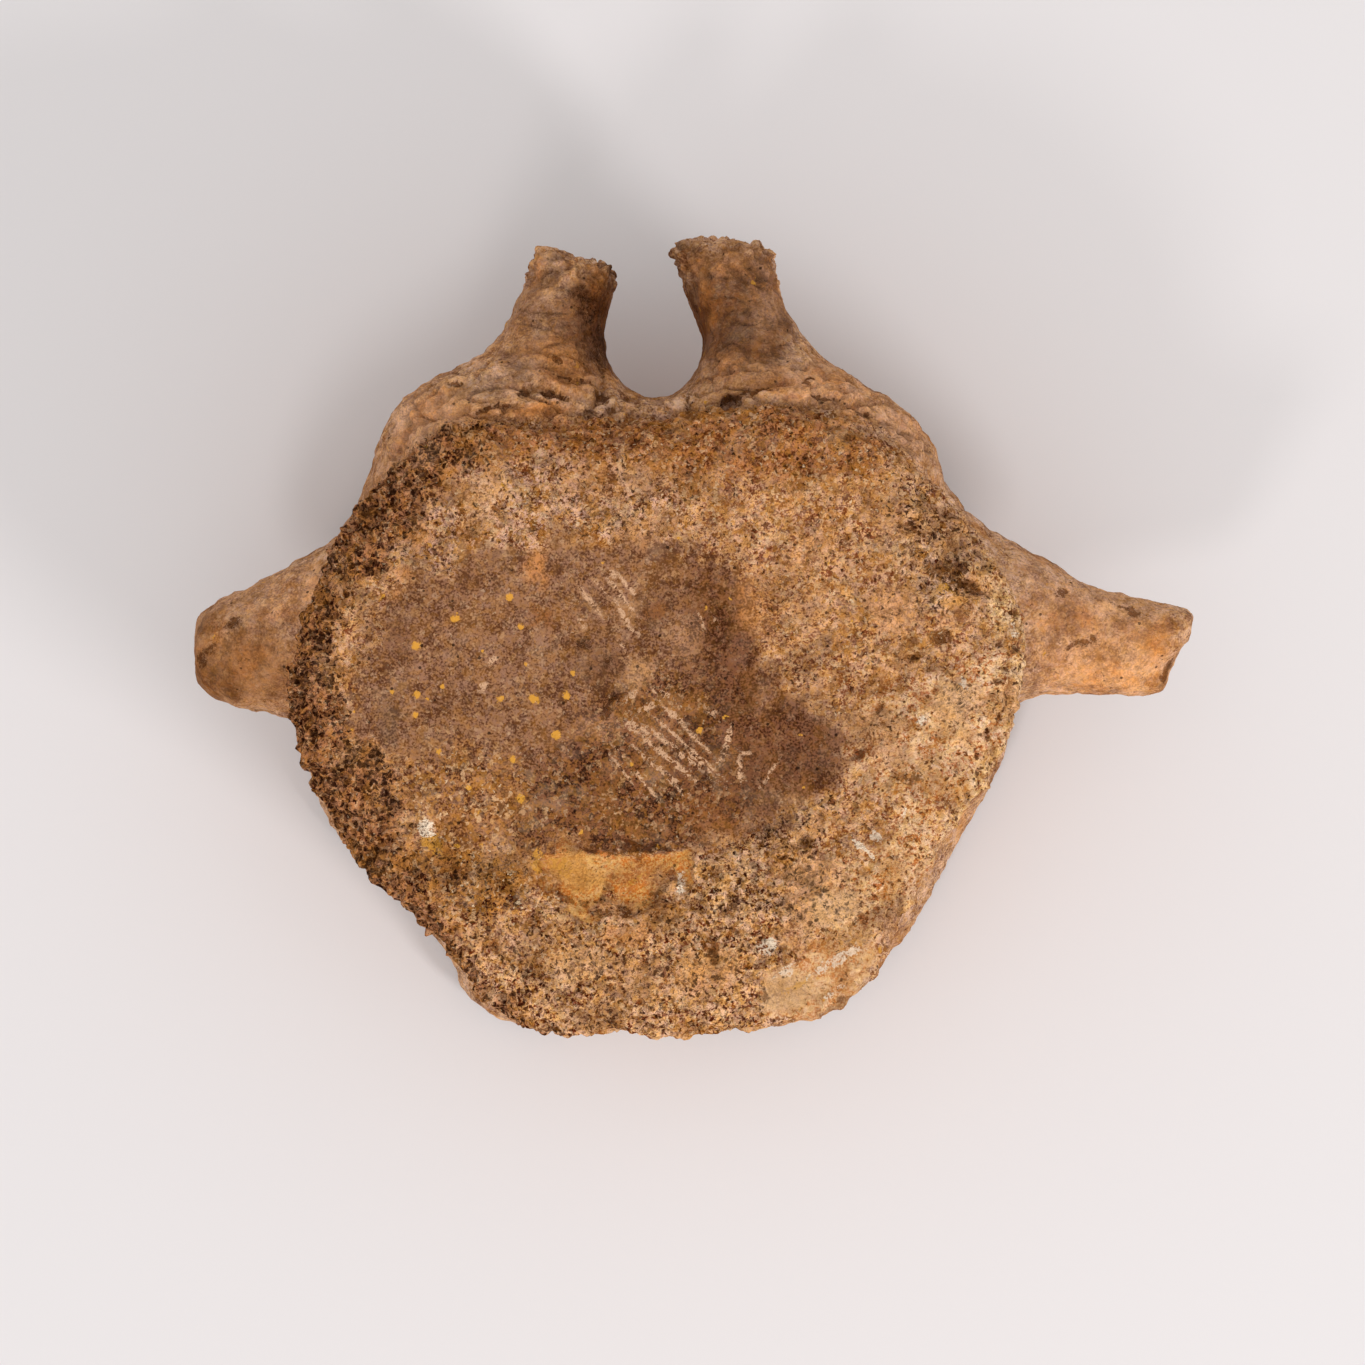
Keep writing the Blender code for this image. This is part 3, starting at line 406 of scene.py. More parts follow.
def lumps(places, size, seed, stretch=(1, 1, 1)):
    points = places / (size * np.array(stretch)) + seed
    return np.array([noise.noise(point) for point in points.tolist()])


# Distance to the nearest of many scattered points, in parts of their spacing
def cells(places, size, seed):
    points = places / size + seed
    return np.array([noise.voronoi(point)[0][0] for point in points.tolist()])


# How far inside an outline each point lies, negative outside
def depthInside(places, outline):
    x, y = places[:, 0], places[:, 1]
    inside = np.zeros(len(places), bool)
    nearest = np.full(len(places), 1e9)
    for (ax, ay), (bx, by) in zip(outline, outline[1:] + outline[:1]):
        dx, dy = bx - ax, by - ay
        along = np.clip(((x - ax) * dx + (y - ay) * dy) / (dx * dx + dy * dy), 0, 1)
        nearest = np.minimum(nearest, np.hypot(x - ax - along * dx, y - ay - along * dy))
        if dy:
            inside ^= ((ay > y) != (by > y)) & (x < ax + (y - ay) * dx / dy)
    return np.where(inside, nearest, -nearest)


def selectOnly(piece):
    bpy.ops.object.select_all(action="DESELECT")
    piece.select_set(True)
    bpy.context.view_layer.objects.active = piece


def setMode(mode):
    bpy.ops.object.mode_set(mode=mode)


def applyModifier(piece, kind, **values):
    selectOnly(piece)
    modifier = piece.modifiers.new(kind.lower(), kind)
    for name, value in values.items():
        setattr(modifier, name, value)
    bpy.ops.object.modifier_apply(modifier=modifier.name)


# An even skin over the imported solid, finer on the near face and on the broken arch
def skinOfSolid():
    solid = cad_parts["vertebra"]
    piece = bpy.data.objects.new("bone", solid.data.copy())
    bpy.context.scene.collection.objects.link(piece)
    piece.data.materials.clear()
    selectOnly(piece)
    setMode("EDIT")
    bpy.ops.mesh.select_all(action="SELECT")
    bpy.ops.mesh.remove_doubles(threshold=0.00001)
    setMode("OBJECT")
    applyModifier(piece, "REMESH", mode="VOXEL", voxel_size=bone["voxel"] / 1000)
    applyModifier(piece, "SMOOTH", factor=0.5, iterations=bone["soften"])
    height, past = bone["fineFace"]
    places = readPlaces(piece)
    fine = (places[:, 2] > height) & (depthInside(places, nearRim) > -past)
    arch = bone["fineArch"]
    facing = readVectors(piece, "normal")[:, 2] > arch["facing"]
    fine |= (places[:, 1] > arch["past"]) & (places[:, 2] > arch["above"]) & facing
    fine |= places[:, 1] > bone["fineEnds"]
    chosen = [bool(fine[face.vertices[0]]) for face in piece.data.polygons]
    setMode("EDIT")
    bpy.ops.mesh.select_mode(type="FACE")
    bpy.ops.mesh.select_all(action="DESELECT")
    setMode("OBJECT")
    piece.data.polygons.foreach_set("select", chosen)
    setMode("EDIT")
    bpy.ops.mesh.subdivide(number_cuts=1)
    bpy.ops.mesh.select_all(action="SELECT")
    bpy.ops.mesh.quads_convert_to_tris()
    setMode("OBJECT")
    return piece


# Leaves out the triangles that the shape needs least
def thinOut(piece):
    applyModifier(piece, "DECIMATE", ratio=min(1.0, bone["triangles"] / len(piece.data.polygons)))
    for face in piece.data.polygons:
        face.use_smooth = True


# Shares of the surface kinds at each point
def surfaceKinds(places, normals):
    # the broken edge is spongy down its side, but not where the arch begins
    past = np.where(places[:, 1] > 24, 0.9, 2.6)
    near = ease(*bone["nearFace"], places[:, 2] - (topHeight - 46.5)) * ease(-0.25, 0.05, normals[:, 2])
    near *= ease(-past - 0.6, -past + 0.6, depthInside(places, nearRim))
    far = ease(*bone["farFace"], places[:, 2]) * ease(0.1, -0.3, normals[:, 2])
    return near, far


def wander(places):
    drift = np.stack([
        2.1 * lumps(places, 3.4, seed) + 1.2 * lumps(places, 1.0, seed + 3) for seed in (11.0, 23.0, 37.0)
    ], axis=1)
    return places + drift


def zoneShares(places, near):
    drifted = wander(places)
    return {
        name: near * ease(-zone["edge"], zone["edge"], depthInside(drifted, zone["outline"]))
        for name, zone in zones.items()
    }


# Blends one value over all surface kinds and zones, in painting order
def blended(key, near, far, shares):
    def asValue(entry):
        return toLinear(entry[key]) if isinstance(entry[key], tuple) else np.array([entry[key]], float)
    field = np.tile(asValue(cortex), (len(near), 1))
    field += (asValue(farFace) - field) * far[:, None]
    for name, zone in zones.items():
        field += (asValue(zone) - field) * shares[name][:, None]
    return field


# How strongly a blot covers each point, 1 in its middle and ragged at its edge
def blotShare(drifted, blot, blur=0.25):
    x, y, longHalf, wideHalf, tint, strength, *turn = blot
    turned = math.radians(sum(turn))
    dx, dy = drifted[:, 0] - x, drifted[:, 1] - y
    along = (dx * math.cos(turned) + dy * math.sin(turned)) / longHalf
    across = (dy * math.cos(turned) - dx * math.sin(turned)) / wideHalf
    return strength * ease(1 + blur, 1 - blur, np.hypot(along, across))


# Blots of these tints have a crisp edge, which the finish makes; the dark ones are real dark stains, and
# painted shade inside the pits and slits
crispTints = {"umber": "stain", "pit": "stain", "slate": "stain", "white": "crystal", "ochre": "yellowMark"}


# How strongly the painted shade in pits darkens them, how far down from its top a blot of the walls fades out
# in mm, and how much darker and lighter than a blot's tint its dark and light parts are
paint = {
    "facePit": 0.62, "sidePit": 0.8, "fade": (17, 9), "darker": 0.62, "lighter": 1.30, "brightest": 0.92,
}


# Adds the soft blots to the dark and the light tint; gives how bare of blots each point is,
# and where the crisp ones lie
def paintBlots(places, near, darkTint, lightTint):
    bare = np.ones(len(places))
    crisp = {name: np.zeros(len(places)) for name in crispTints.values()}
    fine = np.stack([
        0.60 * lumps(places, 0.6, seed) + 0.9 * lumps(places, 1.6, seed + 3) for seed in (61.0, 67.0)
    ], axis=1)
    # the pits of the face and the arch get painted shade, laid in with the crisp dark stains
    faceMarks = nearBlots + [(*pit[:4], "pit", paint["facePit"], pit[4]) for pit in facePits]
    sideMarks = sideBlots + [(*dent[:4], "pit", paint["sidePit"], dent[4]) for dent in dents]
    for blot in faceMarks + sideMarks:
        onFace = blot in faceMarks
        mark = crispTints.get(blot[4])
        large = not onFace and blot[2] * blot[3] > 4
        blur = 0.6 if mark else 0.5 if large else 0.25
        drifted = places[:, :2] + (0.5 if mark else 1.0) * fine
        share = (near if onFace else 1 - near) * blotShare(drifted, blot, blur)
        if not onFace:
            top = places[share > 0.75 * share.max(), 2].max()
            low, high = paint["fade"]
            share = share * ease(top - low, top - high, places[:, 2])
        if mark:
            crisp[mark] = np.maximum(crisp[mark], share)
        else:
            tintBoth(darkTint, lightTint, share, blotTints[blot[4]])
            bare = np.minimum(bare, 1 - 0.8 * share)
    return bare, crisp


def tintBoth(darkTint, lightTint, share, tint):
    aim = toLinear(tint)
    lighter = min(paint["lighter"], paint["brightest"] / aim.max())
    darkTint += (aim * paint["darker"] - darkTint) * share[:, None]
    lightTint += (aim * lighter - lightTint) * share[:, None]


# Pits of the spongy bone, fibres of the smooth bone, ledges and the ragged rims
def carve(piece):
    places = readPlaces(piece)
    normals = readVectors(piece, "normal")
    near, far = surfaceKinds(places, normals)
    shares = zoneShares(places, near)
    pores = blended("pores", near, far, shares)[:, 0]
    pitted = cells(places + 0.5 * lumps(places, 1.5, 5.0)[:, None], 1.25, 9.0)
    shift = bone["spongePit"] * pores * (ease(0.05, 0.65, pitted) - 0.75)
    edge = near * ease(2.2, 0.2, depthInside(places, nearRim))
    shift += bone["roughRim"] * (pores + edge) * lumps(places, 1.0, 41.0)
    shift += 0.45 * bone["roughRim"] * (pores + edge) * lumps(places, 0.55, 47.0)
    smooth = blended("smooth", near, far, shares)[:, 0]
    shift += bone["hummock"] * near * (1 - smooth) * lumps(places, 2.3, 43.0)
    wall = (1 - near) * (1 - far)
    shift += bone["fibre"] * wall * lumps(places, 1.3, 53.0, (1, 1, 5))
    shift += 0.6 * bone["fibre"] * wall * lumps(places, 0.9, 59.0)
    arch = wall * ease(*bone["arch"], places[:, 1]) * ease(0.0, 0.5, normals[:, 2])
    ledges = ease(*bone["ledges"], places[:, 1]) * arch
    shift += bone["archLedge"] * ledges * lumps(places, 1.3, 71.0, (3.4, 1, 1.2))
    creases = np.abs(lumps(places, 1.9, 83.0, (3.0, 1, 1.5)))
    shift -= bone["crease"] * (0.4 * arch + 0.6 * ledges) * ease(0.12, 0.0, creases)
    lumpy = 0.35 + 0.65 * ease(*bone["ledges"], places[:, 1])
    shift += bone["archLump"] * arch * lumps(places, 0.9, 89.0) * lumpy
    depth = depthInside(wander(places), nearRim)
    groove = ease(22, 26, places[:, 1]) * ease(0.8, 0.2, np.abs(depth + 1.0)) * ease(36, 38, places[:, 2])
    groove *= 1 - 0.5 * ease(6, 12, places[:, 0])
    shift -= bone["groove"] * groove * (0.6 + lumps(places, 2.2, 97.0))
    ends = wall * ease(*bone["ends"], places[:, 1])
    shift -= bone["brokenEnd"] * ends * np.abs(lumps(places, 2.4, 73.0)) * 2
    shift += bone["raggedEnd"] * ends * lumps(places, 0.95, 91.0)
    for marks, surface, size in ((dents, arch, 0.8), (facePits, near, 0.6)):
        drifted = places[:, :2] + 0.3 * lumps(places, size, 79.0)[:, None]
        for mark in marks:
            shift -= mark[5] * (surface * blotShare(drifted, (*mark[:4], None, 1.0, mark[4])))
    shift += bone["patinaStep"] * (shares["patina"] - 0.5 * near)
    shift -= bone["yellowStep"] * shares["yellowFloor"]
    shift -= bone["chipStep"] * shares["creamChip"]
    saveField(piece, "relief", shift)
    moved = places + normals * shift[:, None]
    # at the lower left the far rim hides behind the near one
    turned = np.degrees(np.arctan2(places[:, 1], places[:, 0])) % 360
    hidden = ease(*bone["hiddenFrom"], turned) * ease(*bone["hiddenTo"], turned)
    hidden = hidden * ease(*bone["hiddenBelow"], places[:, 2])
    away = np.hypot(places[:, 0], places[:, 1]).clip(10)
    moved[:, :2] *= (1 - bone["hiddenRim"] * hidden / away)[:, None]
    writePlaces(piece, moved)


def saveField(piece, name, values):
    if values.ndim == 2:
        layer = piece.data.attributes.new(name, "FLOAT_COLOR", "POINT")
        rgba = np.ones((len(values), 4), np.float32)
        rgba[:, :3] = values
        layer.data.foreach_set("color", rgba.ravel())
    else:
        layer = piece.data.attributes.new(name, "FLOAT", "POINT")
        layer.data.foreach_set("value", values.astype(np.float32))


def setInputs(node, values):
    for name, value in values.items():
        node.inputs[name].default_value = value


def combine(tree, operation, first, second=0.0):
    made = tree.nodes.new("ShaderNodeMath")
    made.operation = operation
    for socket, value in zip(made.inputs, (first, second)):
        if isinstance(value, (int, float)):
            socket.default_value = value
        else:
            tree.links.new(value, socket)
    return made.outputs[0]


def ramp(tree, value, low, high):
    made = tree.nodes.new("ShaderNodeMapRange")
    made.interpolation_type = "SMOOTHSTEP"
    setInputs(made, {"From Min": low, "From Max": high})
    tree.links.new(value, made.inputs["Value"])
    return made.outputs["Result"]


def mixColour(tree, share, first, second, blend="MIX"):
    made = tree.nodes.new("ShaderNodeMix")
    made.data_type = "RGBA"
    made.blend_type = blend
    for socket, value in zip((made.inputs[0], made.inputs[6], made.inputs[7]), (share, first, second)):
        if isinstance(value, tuple):
            socket.default_value = (*value, 1.0)
        elif isinstance(value, (int, float)):
            socket.default_value = value
        else:
            tree.links.new(value, socket)
    return made.outputs[2]


def noiseNode(tree, place, scale, detail=2.0, roughness=0.5):
    made = tree.nodes.new("ShaderNodeTexNoise")
    setInputs(made, {"Scale": scale, "Detail": detail, "Roughness": roughness})
    tree.links.new(place, made.inputs["Vector"])
    return made


def cellNode(tree, place, scale):
    made = tree.nodes.new("ShaderNodeTexVoronoi")
    setInputs(made, {"Scale": scale})
    tree.links.new(place, made.inputs["Vector"])
    return made


# What the finish of the bone is made of; sizes are counts in a millimetre
finish = {
    "bend": 1.3,
    "pores": 1.55,
    "finePores": 3.0,
    "grains": 2.4,
    "crumb": 1.7,
    "dust": 4.6,
    "pinholes": 0.9,
    "specks": 0.40,
    "glints": 1.9,
    "drift": 0.45,
    "warmth": 1.15,
    # how light the pores, their edges and the painted shade in hollows are, in parts of the dark tint
    "poreShare": 0.22,
    "shadeShare": 0.50,
    "roughness": 0.95,
    "shineOfSmooth": 0.25,
    "specular": 0.03,
    "orange": (0.51, 0.210, 0.038),
    "cream": (0.80, 0.51, 0.28),
    "grey": (0.120, 0.062, 0.030),
    "pink": (0.52, 0.29, 0.17),
    "ochre": (0.72, 0.33, 0.045),
    "glint": (0.86, 0.60, 0.37),
    "white": (1.0, 0.77, 0.56),
    "stain": (0.34, 0.26, 0.20),
    "scratch": (0.64, 0.37, 0.215),
    # these multiply the colour that is there
    "clump": (0.50, 0.44, 0.36),
    "warm": (1.08, 0.92, 0.58),
    "cool": (1.0, 0.97, 1.20),
    "mottle": (0.70, 0.60, 0.53),
    "streak": (0.70, 0.61, 0.54),
    "gold": (1.08, 0.94, 0.72),
}
# Heights of the bump, in mm; pits are negative
bumps = {
    "pore": -0.28, "finePore": -0.10, "stain": -0.18, "pinhole": -0.12, "grain": -0.18, "crumb": 0.42,
    "dust": 0.10,
}


def boneMaterial():
    material = bpy.data.materials.new("fossilBone")
    material.use_nodes = True
    tree = material.node_tree
    shader = tree.nodes["Principled BSDF"]
    where = tree.nodes.new("ShaderNodeTexCoord")
    millimetres = tree.nodes.new("ShaderNodeMapping")
    middle = (-centrumMiddle[0], -centrumMiddle[1], 0)
    setInputs(millimetres, {"Scale": (1000, 1000, 1000), "Location": middle})
    tree.links.new(where.outputs["Object"], millimetres.inputs["Vector"])
    place = millimetres.outputs["Vector"]

    def times(first, second):
        return combine(tree, "MULTIPLY", first, second)

    def plus(first, second):
        return combine(tree, "ADD", first, second)

    def vectorStep(operation, first, second=None, third=None):
        made = tree.nodes.new("ShaderNodeVectorMath")
        made.operation = operation
        for socket, value in zip(made.inputs, (first, second, third)):
            if isinstance(value, tuple):
                socket.default_value = value
            elif value is not None:
                tree.links.new(value, socket)
        return made

    def cloud(scale, low, high, detail=2.0, roughness=0.5, shift=0.0):
        spot = vectorStep("ADD", place, (shift, shift, shift)).outputs[0] if shift else place
        return ramp(tree, noiseNode(tree, spot, scale, detail, roughness).outputs["Fac"], low, high)

    def centre(value):
        return combine(tree, "SUBTRACT", value, 0.5)

    def split(node):
        made = tree.nodes.new("ShaderNodeSeparateColor")
        tree.links.new(node.outputs["Color"], made.inputs[0])
        return made.outputs

    def field(name, output="Fac"):
        made = tree.nodes.new("ShaderNodeAttribute")
        made.attribute_name = name
        return made.outputs[output]

    # lays a colour of the finish over the one that is there
    def lay(share, tint, blend="MIX"):
        return mixColour(tree, share, colour, finish[tint], blend)

    dark, light = field("darkTint", "Color"), field("lightTint", "Color")
    pores, smooth, relief, near, sponge, bare, fleckField = (
        field(name) for name in ("pores", "smooth", "relief", "near", "sponge", "bare", "flecks")
    )
    flecks = times(fleckField, bare)
    rough = combine(tree, "SUBTRACT", 1.0, smooth)

    # places bent a little, so that pores, grains and marks aren't round
    bend = noiseNode(tree, place, finish["bend"], 3.0, 0.6).outputs["Color"]
    centred = vectorStep("SUBTRACT", bend, (0.5, 0.5, 0.5)).outputs[0]
    bent = vectorStep("MULTIPLY_ADD", centred, (1.3, 1.3, 1.3), place).outputs[0]

    # pores first, because the bone between them is lighter than what lies in them
    crumb = noiseNode(tree, place, finish["crumb"], 3.0, 0.7).outputs["Fac"]
    dust = noiseNode(tree, place, finish["dust"], 1.0, 0.5).outputs["Fac"]
    crowd = cloud(0.4, 0.35, 0.65)
    waver = times(centre(crumb), 0.7)
    coarseCell = cellNode(tree, bent, finish["pores"])
    coarse = coarseCell.outputs["Distance"]
    coarseReach = plus(times(pores, plus(times(crowd, 0.16), 0.27)), times(waver, pores))
    coarsePore = ramp(tree, combine(tree, "SUBTRACT", coarseReach, coarse), -0.10, 0.10)
    coarsePore = times(coarsePore, plus(times(split(coarseCell)[0], 0.50), 0.52))
    fine = cellNode(tree, bent, finish["finePores"]).outputs["Distance"]
    fineReach = times(pores, plus(times(crowd, 0.12), 0.28))
    finePore = ramp(tree, combine(tree, "SUBTRACT", fineReach, fine), -0.08, 0.08)
    pinhole = cellNode(tree, place, finish["pinholes"])
    fewHoles = ramp(tree, split(pinhole)[1], 0.70, 0.72)
    pinholeSpot = times(ramp(tree, pinhole.outputs["Distance"], 0.17, 0.09), fewHoles)

    # lightness: drifts over millimetres, grains of a few tenths, walls between the pores
    grains = cellNode(tree, bent, finish["grains"])
    grainPick = split(grains)
    drift = noiseNode(tree, place, finish["drift"], 3.0, 0.6).outputs["Fac"]
    netting = times(combine(tree, "SUBTRACT", ramp(tree, coarse, 0.10, 0.60), 0.42), times(pores, 0.85))
    grainy = times(centre(grainPick[0]), times(plus(times(flecks, 0.55), 0.28), plus(times(sponge, 0.6), 0.4)))
    finer = plus(times(sponge, 0.45), 0.55)
    cloudy = times(centre(crumb), plus(times(rough, 1.2), 1.1))
    cloudy = plus(cloudy, times(centre(dust), plus(times(smooth, 0.5), 2.4)))
    cloudy = plus(times(centre(drift), 2.1), times(cloudy, finer))
    lightness = plus(times(plus(cloudy, plus(netting, grainy)), plus(times(sponge, 0.2), 0.8)), 0.5)
    lightness = ramp(tree, lightness, 0.0, 1.0)
    colour = mixColour(tree, lightness, dark, light)

    # iron stains, pale crust and pinkish bone over millimetres to centimetres
    rust = times(cloud(0.24, 0.50, 0.60, 4.0, 0.68), plus(times(rough, 0.42), 0.12))
    colour = lay(times(rust, bare), "orange")
    pale = times(cloud(0.28, 0.54, 0.66, 4.0, 0.66, 31.0), times(flecks, 0.34))
    colour = lay(pale, "cream")
    flush = times(cloud(0.33, 0.52, 0.66, 3.0, 0.6, 57.0), plus(times(rough, 0.16), 0.10))
    colour = lay(times(flush, bare), "pink")

    # the walls and the arch are mottled more broadly
    wall = combine(tree, "SUBTRACT", 1.0, sponge)
    mottle = times(cloud(0.22, 0.49, 0.62, 5.0, 0.70, 17.0), times(wall, 0.70))
    colour = lay(mottle, "mottle", "MULTIPLY")
    tall = vectorStep("MULTIPLY", place, (1.0, 1.0, 0.22)).outputs[0]
    streaks = ramp(tree, noiseNode(tree, tall, 0.60, 4.0, 0.65).outputs["Fac"], 0.50, 0.66)
    colour = lay(times(streaks, times(wall, 0.60)), "streak", "MULTIPLY")
    gold = times(cloud(0.19, 0.50, 0.62, 4.0, 0.68, 43.0), times(wall, 0.75))
    colour = lay(gold, "gold", "MULTIPLY")

    clumps = times(cloud(0.42, 0.545, 0.60, 5.0, 0.76, 91.0), times(times(flecks, flecks), 0.70))
    colour = lay(clumps, "clump", "MULTIPLY")
    warmth = noiseNode(tree, place, finish["warmth"], 4.0, 0.75).outputs["Fac"]
    warmth = ramp(tree, plus(warmth, times(centre(grainPick[1]), 0.14)), 0.36, 0.64)
    hueShare = plus(times(flecks, 0.55), 0.30)
    colour = lay(times(warmth, hueShare), "warm", "MULTIPLY")
    coolness = times(combine(tree, "SUBTRACT", 1.0, warmth), hueShare)
    colour = lay(coolness, "cool", "MULTIPLY")

    # the grains' own colours
    bright = plus(times(lightness, 0.7), 0.3)
    orangeGrains = times(ramp(tree, grainPick[1], 0.66, 0.80), times(flecks, 0.50))
    creamGrains = times(times(ramp(tree, grainPick[2], 0.78, 0.90), bright), times(flecks, 0.62))
    greyGrains = times(ramp(tree, grainPick[2], 0.22, 0.12), plus(times(flecks, 0.26), 0.12))
    colour = lay(orangeGrains, "orange")
    colour = lay(creamGrains, "cream")
    colour = lay(greyGrains, "grey")

    # scratches and the listed specks, then specks at random
    marks = vectorStep("MULTIPLY_ADD", centred, (0.7, 0.7, 0.0), place).outputs[0]
    reach = None
    for x, y, turn, longHalf, wideHalf in scratches:
        mapped = tree.nodes.new("ShaderNodeMapping")
        mapped.vector_type = "TEXTURE"
        setInputs(mapped, {
            "Location": (x, y, 0), "Rotation": (0, 0, math.radians(turn)), "Scale": (longHalf, wideHalf, 10000),
        })
        tree.links.new(marks, mapped.inputs["Vector"])
        length = vectorStep("LENGTH", mapped.outputs["Vector"]).outputs["Value"]
        reach = length if reach is None else combine(tree, "MINIMUM", reach, length)
    broken = plus(reach, plus(times(centre(crumb), 2.6), times(centre(dust), 2.4)))
    crumbs = ramp(tree, plus(grainPick[0], times(centre(dust), 0.8)), 0.25, 0.50)
    scratchShare = times(crumbs, plus(times(lightness, 0.7), 0.4))
    scratchSpot = times(times(ramp(tree, broken, 1.15, 0.75), near), scratchShare)
    colour = lay(scratchSpot, "scratch")
    reach = None
    for x, y, size in ochreSpecks:
        away = vectorStep("MULTIPLY", vectorStep("SUBTRACT", marks, (x, y, 0.0)).outputs[0], (1.0, 1.0, 0.0))
        length = times(vectorStep("LENGTH", away.outputs[0]).outputs["Value"], 1 / size)
        reach = length if reach is None else combine(tree, "MINIMUM", reach, length)
    reach = plus(reach, times(centre(crumb), 2.4))
    setSpeck = times(ramp(tree, reach, 0.95, 0.55), near)
    ochre = cellNode(tree, bent, finish["specks"])
    fewSpecks = ramp(tree, split(ochre)[0], 0.70, 0.71)
    ochreSpot = times(ramp(tree, ochre.outputs["Distance"], 0.12, 0.06), fewSpecks)
    ochreSpot = combine(tree, "MAXIMUM", ochreSpot, setSpeck)
    colour = lay(times(ochreSpot, 0.9), "ochre")

    def crispMark(name):
        waver = plus(times(centre(crumb), 2.8), times(centre(dust), 2.4))
        waver = plus(waver, times(centre(grainPick[1]), 0.6))
        return ramp(tree, times(field(name), plus(waver, 1.0)), 0.30, 0.62)

    # real dark stains, and painted shade in the pits and slits, multiply the colour
    stain = crispMark("stain")
    colour = lay(times(stain, 0.95), "stain", "MULTIPLY")
    colour = lay(times(crispMark("yellowMark"), 0.65), "ochre")
    crystal = times(crispMark("crystal"), plus(times(lightness, 0.5), 0.60))
    colour = lay(crystal, "white")

    # painted shade: where the carved relief sinks, the colour is darkened toward a share of the dark tint
    hollowShade = ramp(tree, relief, 0.05, -0.40)
    shade, deep = vectorStep("SCALE", dark), vectorStep("SCALE", dark)
    setInputs(shade, {"Scale": finish["shadeShare"]})
    setInputs(deep, {"Scale": finish["poreShare"]})
    colour = mixColour(tree, times(hollowShade, 0.32), colour, shade.outputs[0])
    colour = mixColour(tree, times(finePore, 0.6), colour, shade.outputs[0])
    colour = mixColour(tree, times(coarsePore, 0.9), colour, deep.outputs[0])
    colour = mixColour(tree, times(pinholeSpot, 0.85), colour, deep.outputs[0])
    glint = cellNode(tree, bent, finish["glints"])
    glintPick = split(glint)
    glintSpot = times(ramp(tree, glint.outputs["Distance"], 0.30, 0.18), ramp(tree, glintPick[0], 0.78, 0.80))
    glintSpot = times(glintSpot, times(plus(times(glintPick[1], 0.6), 0.35), flecks))
    colour = lay(times(glintSpot, plus(times(sponge, 0.7), 0.3)), "glint")
    tree.links.new(colour, shader.inputs["Base Color"])

    shine = times(smooth, finish["shineOfSmooth"])
    tree.links.new(combine(tree, "SUBTRACT", finish["roughness"], shine), shader.inputs["Roughness"])
    shader.inputs["Specular IOR Level"].default_value = finish["specular"]

    # rough bone is sugary
    sugar = plus(times(rough, 0.85), 0.15)
    parts = {
        "pore": coarsePore, "finePore": finePore, "stain": plus(stain, clumps), "pinhole": pinholeSpot,
        "grain": times(grains.outputs["Distance"], sugar), "crumb": times(crumb, sugar),
        "dust": times(dust, sugar),
    }
    height = 0.0
    for name, part in parts.items():
        height = plus(height, times(part, bumps[name]))
    bump = tree.nodes.new("ShaderNodeBump")
    setInputs(bump, {"Strength": 1.0, "Distance": 0.001})
    tree.links.new(height, bump.inputs["Height"])
    tree.links.new(bump.outputs["Normal"], shader.inputs["Normal"])
    return material


def buildBone():
    piece = skinOfSolid()
    print("skin of", len(piece.data.polygons), "triangles")
    carve(piece)
    thinOut(piece)
    # thinning out moves points a little past the box; this puts them back
    writePlaces(piece, readPlaces(piece))
    print("carved and thinned out to", len(piece.data.polygons), "triangles")
    places, normals = readPlaces(piece), readVectors(piece, "normal")
    near, far = surfaceKinds(places, normals)
    shares = zoneShares(places, near)
    darkTint, lightTint = blended("dark", near, far, shares), blended("light", near, far, shares)
    bare, crisp = paintBlots(places, near, darkTint, lightTint)
    fields = {"bare": bare, **crisp, "darkTint": darkTint, "lightTint": lightTint, "near": near}
    fields["sponge"] = np.maximum(near, far)
    for name in ("flecks", "pores", "smooth"):
        fields[name] = blended(name, near, far, shares)[:, 0]
    for name, values in fields.items():
        saveField(piece, name, values)
    piece.data.materials.append(boneMaterial())
    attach(piece, "root")
    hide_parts("vertebra")


# Plain pale ground, size in metres and its screen colour
floor = {"size": 6.0, "colour": (229, 223, 223), "roughness": 0.9, "specular": 0.1}


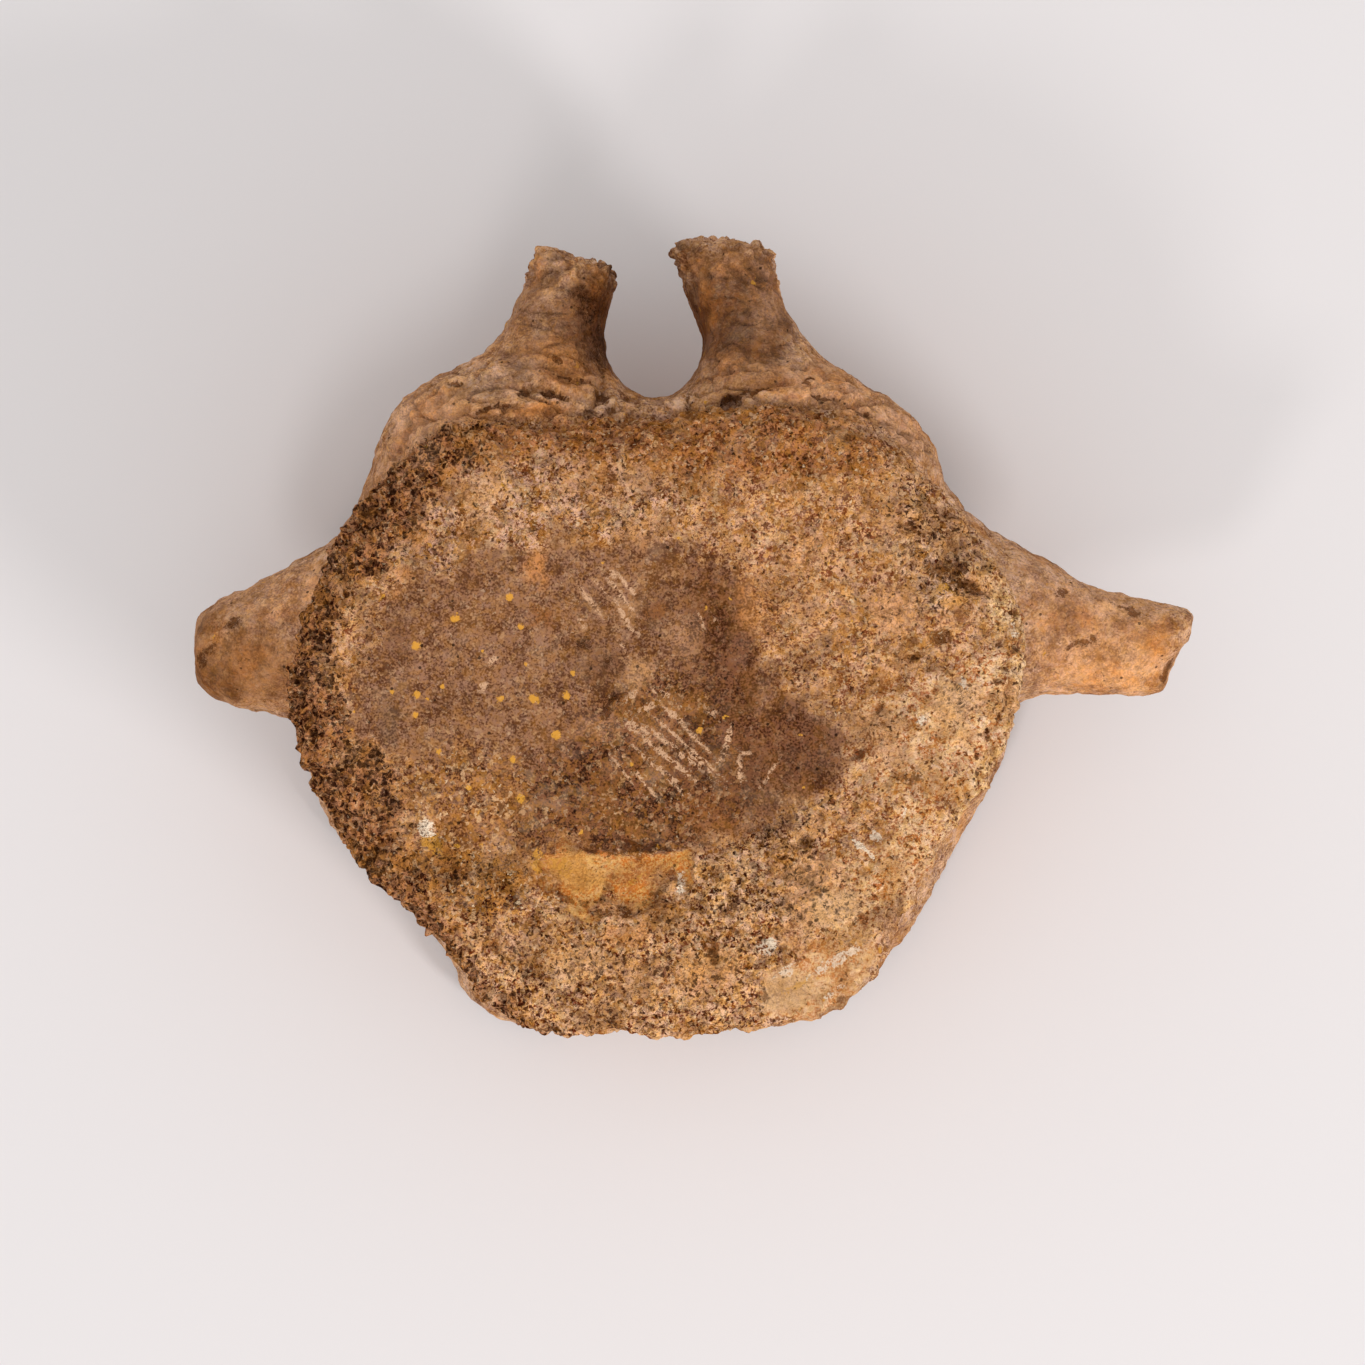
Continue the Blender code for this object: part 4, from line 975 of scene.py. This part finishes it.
def buildGround():
    bpy.ops.object.select_all(action="DESELECT")
    bpy.ops.mesh.primitive_plane_add(size=floor["size"], location=(0, 0, 0))
    ground = bpy.context.object
    ground.name = "ground"
    paper = bpy.data.materials.new("palePaper")
    paper.use_nodes = True
    shader = paper.node_tree.nodes["Principled BSDF"]
    setInputs(shader, {
        "Base Color": (*toLinear(floor["colour"]), 1.0),
        "Roughness": floor["roughness"], "Specular IOR Level": floor["specular"],
    })
    ground.data.materials.append(paper)


# Soft lamps: the turn from +X and the rise in degrees, distance and size in metres, power in watts
lamps = {
    "rightLamp": {"turn": -41, "rise": 33, "away": 1.1, "size": 0.22, "power": 4.05},
    "leftLamp": {"turn": -118, "rise": 46, "away": 1.1, "size": 0.22, "power": 1.85},
    "topLamp": {"turn": 90, "rise": 89.9, "away": 1.3, "size": 1.0, "power": 2.0},
}
sky = {"colour": (0.98, 1.0, 1.0), "strength": 0.695}


def buildLamps():
    for name, lamp in lamps.items():
        turn, rise = math.radians(lamp["turn"]), math.radians(lamp["rise"])
        way = Vector((math.cos(turn) * math.cos(rise), math.sin(turn) * math.cos(rise), math.sin(rise)))
        bpy.ops.object.light_add(type="AREA", location=way * lamp["away"])
        made = bpy.context.object
        made.name = name
        made.data.shape = "DISK"
        made.data.size = lamp["size"]
        made.data.energy = lamp["power"]
        made.rotation_euler = way.to_track_quat("Z", "Y").to_euler()
    world = bpy.data.worlds.new("sky")
    bpy.context.scene.world = world
    world.use_nodes = True
    back = world.node_tree.nodes["Background"]
    setInputs(back, {"Color": (*sky["colour"], 1.0), "Strength": sky["strength"]})


# Straight above, where the photograph was taken from: place and height over the near face, all in mm
camera = {"place": (-1.18, -4.94), "above": 559.5, "lens": 147.69, "sensor": 36, "nearest": 10}


def buildCamera():
    x, y = camera["place"]
    z = topHeight + camera["above"]
    bpy.ops.object.camera_add(location=(x / 1000, y / 1000, z / 1000), rotation=(0, 0, 0))
    made = bpy.context.object
    made.data.sensor_width = camera["sensor"]
    made.data.lens = camera["lens"]
    made.data.clip_start = camera["nearest"] / 1000
    bpy.context.scene.camera = made


buildBone()
print("bone finished")
buildGround()
buildLamps()
buildCamera()
bpy.context.scene.view_settings.view_transform = "Standard"
print("ground, lamps and camera placed")
